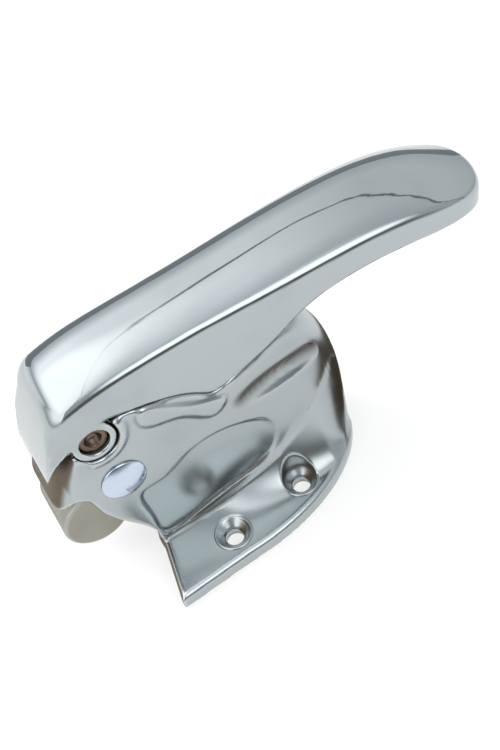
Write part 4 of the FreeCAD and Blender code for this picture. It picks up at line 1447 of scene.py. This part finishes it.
@dataclass
class ScrewSeats:
    """Crisp turned rims of the four countersunk holes.

    Attributes:
        top: Height of the countersink's edge.
    """

    top: float = 5.4

    def seat(self) -> Object:
        """One seat, with its axis at the origin.

        Returns:
            The object.
        """
        hole, edge, top = SCREW_R, SINK_R, self.top
        inner = [(hole - 0.02, 0.3), (hole - 0.02, 2.8), (hole + 0.15, 3.05)]
        rim = [(edge - 0.2, top - 0.22), (edge, top + 0.02), (edge + 0.3, top + 0.1)]
        outer = [(edge + 0.65, top - 0.05), (edge + 0.8, top - 0.5)]
        profile = inner + rim + outer + [(hole + 0.6, 2.6), (hole + 0.4, 0.3)]
        return turned("seat", profile, Axis.Z, (0.0, 0.0, 0.0), 72)

    @staticmethod
    def repeat_tree() -> NodeTree:
        """Geometry nodes that put a copy of an object on every point.

        Returns:
            The tree.
        """
        kinds = {"Places": "Geometry", "Seat": "Object", "Size": "Float", "Finish": "Material"}
        tree, given = Tree.group("seat_on_points", kinds)
        seat = {"Object": given["Seat"]}
        copy = tree.node("GeometryNodeObjectInfo", inputs=seat, output="Geometry")
        inputs = {"Points": given["Places"], "Instance": copy, "Scale": given["Size"]}
        return tree.close(tree.node("GeometryNodeInstanceOnPoints", inputs=inputs), given["Finish"])

    def make(self, finishes: Finishes) -> None:
        """Build the seats and dress them.

        Args:
            finishes: The materials of the latch.
        """
        seat = self.seat()
        places = [(x, side * y, 0.0) for x, y in SCREWS for side in (-1, 1)]
        piece = new_mesh("screw_seats", np.array(places) * MM, [])
        values = {"Seat": seat, "Size": 1.0, "Finish": finishes.chrome}
        piece = run_tree(piece, self.repeat_tree(), values)
        bpy.data.objects.remove(seat)
        finish_piece(piece, finishes.chrome, Body.BASE)


@dataclass
class Hardware:
    """The rivet, the handle's pin, and the small pieces that keep their construction shape.

    Attributes:
        head_r: Radius of the rivet's head.
        head_height: Height of the rivet's head.
        shank_r: Radius of the rivet's shank.
        wall: Half width of the body that the rivet holds together.
        washer: Thickness of the washer under the peened end.
    """

    head_r: float = 6.6
    head_height: float = 2.5
    shank_r: float = 3.0
    wall: float = 13.3
    washer: float = 1.0

    @staticmethod
    def head(radius: float, height: float, y: float, side: int) -> list[Point]:
        """Profile of a domed head, from its middle out to the wall.

        Args:
            radius: Radius of the head.
            height: Height of the head.
            y: Distance of the head's seat from the plane of symmetry.
            side: The side that it is on, 1 or -1.

        Returns:
            Radius and Y of each point.
        """
        rim = height * 0.2
        dome = height - rim
        ball = (radius ** 2 + dome ** 2) / (2 * dome)
        arc = np.linspace(0.0, math.asin(radius / ball), 16)
        points = [(ball * math.sin(a), height - ball * (1.0 - math.cos(a))) for a in arc]
        points[-1] = (radius - 0.12, rim + 0.06)
        points += [(radius, rim - 0.12), (radius, 0.02)]
        return [(r, side * (y + h)) for r, h in points]

    def make(self, finishes: Finishes) -> None:
        """Build the rivet and the pin, and dress the small pieces.

        Args:
            finishes: The materials of the latch.
        """
        reach = self.wall + self.washer
        near = self.head(self.head_r, self.head_height, self.wall, -1)
        far = self.head(self.shank_r * 1.5, self.head_height * 0.7, reach, 1)
        shank = [(self.shank_r, -self.wall), (self.shank_r, reach)]
        profile = near + shank + far[::-1]
        rivet = turned("rivet_piece", profile, Axis.Y, (RIVET[0], 0.0, RIVET[1]))
        finish_piece(rivet, finishes.rivet, Body.BASE, ["tongue_rivet"])
        end = [(0.0, 9.6), (2.1, 10.4), (2.3, 11.9), (2.7, 12.3), (3.7, 12.3), (4.2, 11.8)]
        near = [(r, -y) for r, y in end]
        pin = turned("pin_piece", near + end[::-1], Axis.Y, (PIN[0], 0.0, PIN[1]))
        finish_piece(pin, finishes.pin, Body.LEVER, ["handle_pin"])
        kept = {
            "lift_pin": finishes.pin,
            "near_pin_washer": finishes.nylon,
            "far_pin_washer": finishes.nylon,
            "near_tongue_shim": finishes.nylon,
            "far_tongue_shim": finishes.nylon,
            "tongue_spacer": finishes.brass,
            "rivet_washer": finishes.rivet,
            "rest_pad": finishes.rubber,
        }
        for name, material in kept.items():
            dress(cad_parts[name], material)
            LOG.info("%s keeps its shape", name)


@dataclass
class Studio:
    """Camera, floor, lamps and surroundings.

    Attributes:
        aim: Point at the middle of the picture, in millimetres.
        azimuth: Turn of the camera round the latch, in degrees.
        elevation: Height of the camera over the horizon, in degrees.
        roll: Turn of the camera about its own axis, in degrees.
        distance: From the camera to the aim, in millimetres.
        lens: Focal length, in millimetres.
        sensor: Width of the camera's frame, in millimetres.
        floor_half: Half the side of the floor, in metres.
        floor_white: Share of plain white in the floor that is seen.
    """

    aim: Triple = (13.1, 0.0, 35.1)
    azimuth: float = -18.0
    elevation: float = 49.0
    roll: float = 16.0
    distance: float = 300.0
    lens: float = 50.0
    sensor: float = 36.0
    floor_half: float = 3.0
    floor_white: float = 0.72

    def camera(self) -> None:
        """Set up the camera."""
        a, e, r = (math.radians(v) for v in (self.azimuth, self.elevation, self.roll))
        right = Vector((math.cos(a), math.sin(a), 0.0))
        up = Vector((-math.sin(a) * math.sin(e), math.cos(a) * math.sin(e), math.cos(e)))
        back = right.cross(up)
        rolled_right = right * math.cos(r) - up * math.sin(r)
        rolled_up = right * math.sin(r) + up * math.cos(r)
        data = bpy.data.cameras.new("camera")
        data.lens = self.lens
        data.sensor_width = self.sensor
        data.clip_start = 0.01
        camera = bpy.data.objects.new("camera", data)
        matrix = Matrix((rolled_right, rolled_up, back)).transposed().to_4x4()
        matrix.translation = (Vector(self.aim) + back * self.distance) * MM
        camera.matrix_world = matrix
        bpy.context.scene.collection.objects.link(camera)
        bpy.context.scene.camera = camera

    def floor(self) -> None:
        """Lay the pale floor, which the camera and its reflections see nearly white."""
        size = self.floor_half
        places = [(x * size, y * size, -0.0001) for x, y in SQUARE]
        floor = new_mesh("floor", np.array(places), [(0, 1, 2, 3)])
        material, tree = blank_material("pale_floor")
        matt = tree.node("ShaderNodeBsdfDiffuse", inputs={"Color": (0.8, 0.8, 0.79, 1.0)})
        seen, mirrored, through = (
            tree.node("ShaderNodeLightPath", output=f"Is {kind} Ray")
            for kind in ("Camera", "Glossy", "Transmission")
        )
        share = seen.or_more(mirrored.or_more(through)) * self.floor_white
        inputs = {0: share, 1: matt, 2: tree.glow((1.0, 1.0, 1.0))}
        tree.surface(tree.node("ShaderNodeMixShader", inputs=inputs))
        floor.data.materials.append(material)

    @staticmethod
    def card(name: str, colour: Colour, centre: Vector, size: Point, facing: Vector) -> None:
        """Place a coloured card that only reflections show.

        Args:
            name: Name of the card.
            colour: Its colour.
            centre: Its middle, in millimetres.
            size: Its width and height, in millimetres.
            facing: The point that it faces, in millimetres.
        """
        turn = (facing - centre).to_track_quat("Z", "Y").to_matrix()
        flat = [Vector((x * size[0] / 2, y * size[1] / 2, 0.0)) for x, y in SQUARE]
        places = [list((centre + turn @ corner) * MM) for corner in flat]
        card = new_mesh(name, np.array(places), [(0, 1, 2, 3)])
        material, tree = blank_material(name)
        tree.surface(tree.glow(colour))
        card.data.materials.append(material)
        card.visible_camera = False
        card.visible_diffuse = False
        card.visible_shadow = False

    @staticmethod
    def lamp(name: str, place: Vector, size: float, power: float, aim: Vector) -> None:
        """Hang a soft square lamp that reflections don't show.

        Args:
            name: Name of the lamp.
            place: Where it hangs, in millimetres.
            size: Its side, in millimetres.
            power: Its power in watts.
            aim: The point that it shines at, in millimetres.
        """
        data = bpy.data.lights.new(name, "AREA")
        data.size = size * MM
        data.energy = power
        lamp = bpy.data.objects.new(name, data)
        lamp.location = place * MM
        lamp.rotation_euler = (place - aim).to_track_quat("Z", "Y").to_euler()
        lamp.visible_glossy = False
        bpy.context.scene.collection.objects.link(lamp)

    @staticmethod
    def world() -> None:
        """Surround the latch with a bright wall, a dimming ceiling and a dark seam between."""
        world = bpy.data.worlds.new("studio")
        bpy.context.scene.world = world
        world.use_nodes = True
        tree = Tree(world.node_tree)
        way = tree.node("ShaderNodeTexCoord", output="Generated")
        x, y, z = (
            tree.node("ShaderNodeSeparateXYZ", inputs={0: way}, output=axis) for axis in "XYZ"
        )
        wobble = tree.noise(way, 4.5, 4.0) - 0.5
        sideways = x - 0.2
        fold = (sideways * sideways + 0.012) ** 0.5
        past = y + fold * 1.8 - 0.78 + wobble * 0.24
        bright = tree.mix(x.step(-0.3, 0.5), (1.85, 1.87, 1.9), (0.86, 0.88, 0.9))
        ceiling = tree.mix(y.step(-0.5, 0.1), (0.6, 0.65, 0.68), bright)
        wall = tree.mix(z.step(0.02, 0.5), (0.65, 0.7, 0.72), bright)
        shade = tree.mix(past.step(-0.01, 0.03), ceiling, wall)
        seam = past.step(-0.035, -0.005) * (1.0 - past.step(0.005, 0.04))
        shade = tree.mix(seam * 0.85, shade, (0.08, 0.085, 0.09))
        behind = (0.0 - y).step(0.62, 0.92) * z.step(0.02, 0.25)
        shade = tree.mix(behind * 0.9, shade, (0.13, 0.12, 0.11))
        over_nose = x * -0.42 + y * 0.3 + z * 0.86
        shade = tree.mix(over_nose.step(0.82, 0.97), shade, (2.3, 2.3, 2.3))
        over_flange = x * 0.2 - y * 0.62 + z * 0.755
        shade = tree.mix(over_flange.step(0.9, 0.99), shade, (2.3, 2.34, 2.37))
        shade = tree.mix((0.0 - z).step(0.0, 0.05), shade, (0.5, 0.53, 0.55))
        seen = tree.node("ShaderNodeLightPath", output="Is Camera Ray")
        shade = tree.mix(seen, shade, (1.0, 1.0, 1.0))
        ground = tree.node("ShaderNodeBackground", inputs={"Color": shade, "Strength": 1.0})
        tree.node("ShaderNodeOutputWorld", inputs={"Surface": ground})

    def make(self) -> None:
        """Set up everything round the latch."""
        self.camera()
        self.floor()
        self.world()
        aim = Vector((10.0, 0.0, 35.0))
        self.lamp("soft_key", Vector((-260.0, 220.0, 480.0)), 260.0, 2.0, aim)
        self.lamp("soft_fill", Vector((320.0, -260.0, 380.0)), 220.0, 0.9, aim)
        brown, up = (0.07, 0.05, 0.035), Vector((0.0, 0.0, 500.0))
        rear, front = Vector((65.0, 15.0, 2.0)), Vector((-40.0, 48.0, 2.0))
        self.card("brown_rear", brown, rear, (42.0, 80.0), rear + up)
        self.card("brown_front", brown, front, (60.0, 60.0), front + up)
        wall = Vector((170.0, 360.0, 50.0))
        self.card("grey_wall", (0.3, 0.33, 0.35), wall, (760.0, 110.0), Vector((170.0, 0.0, 50.0)))
        bpy.context.scene.view_settings.view_transform = "Standard"


def main() -> None:
    """Build the latch piece by piece and set up the picture."""
    logging.basicConfig(level=logging.INFO, format="%(name)s: %(message)s")
    Studio().make()
    finishes = Finishes.make()
    for part in (BodyCasting(), HandleCasting(), Tongue(), Springs(), ScrewSeats(), Hardware()):
        part.make(finishes)


if __name__ == "__main__":
    main()
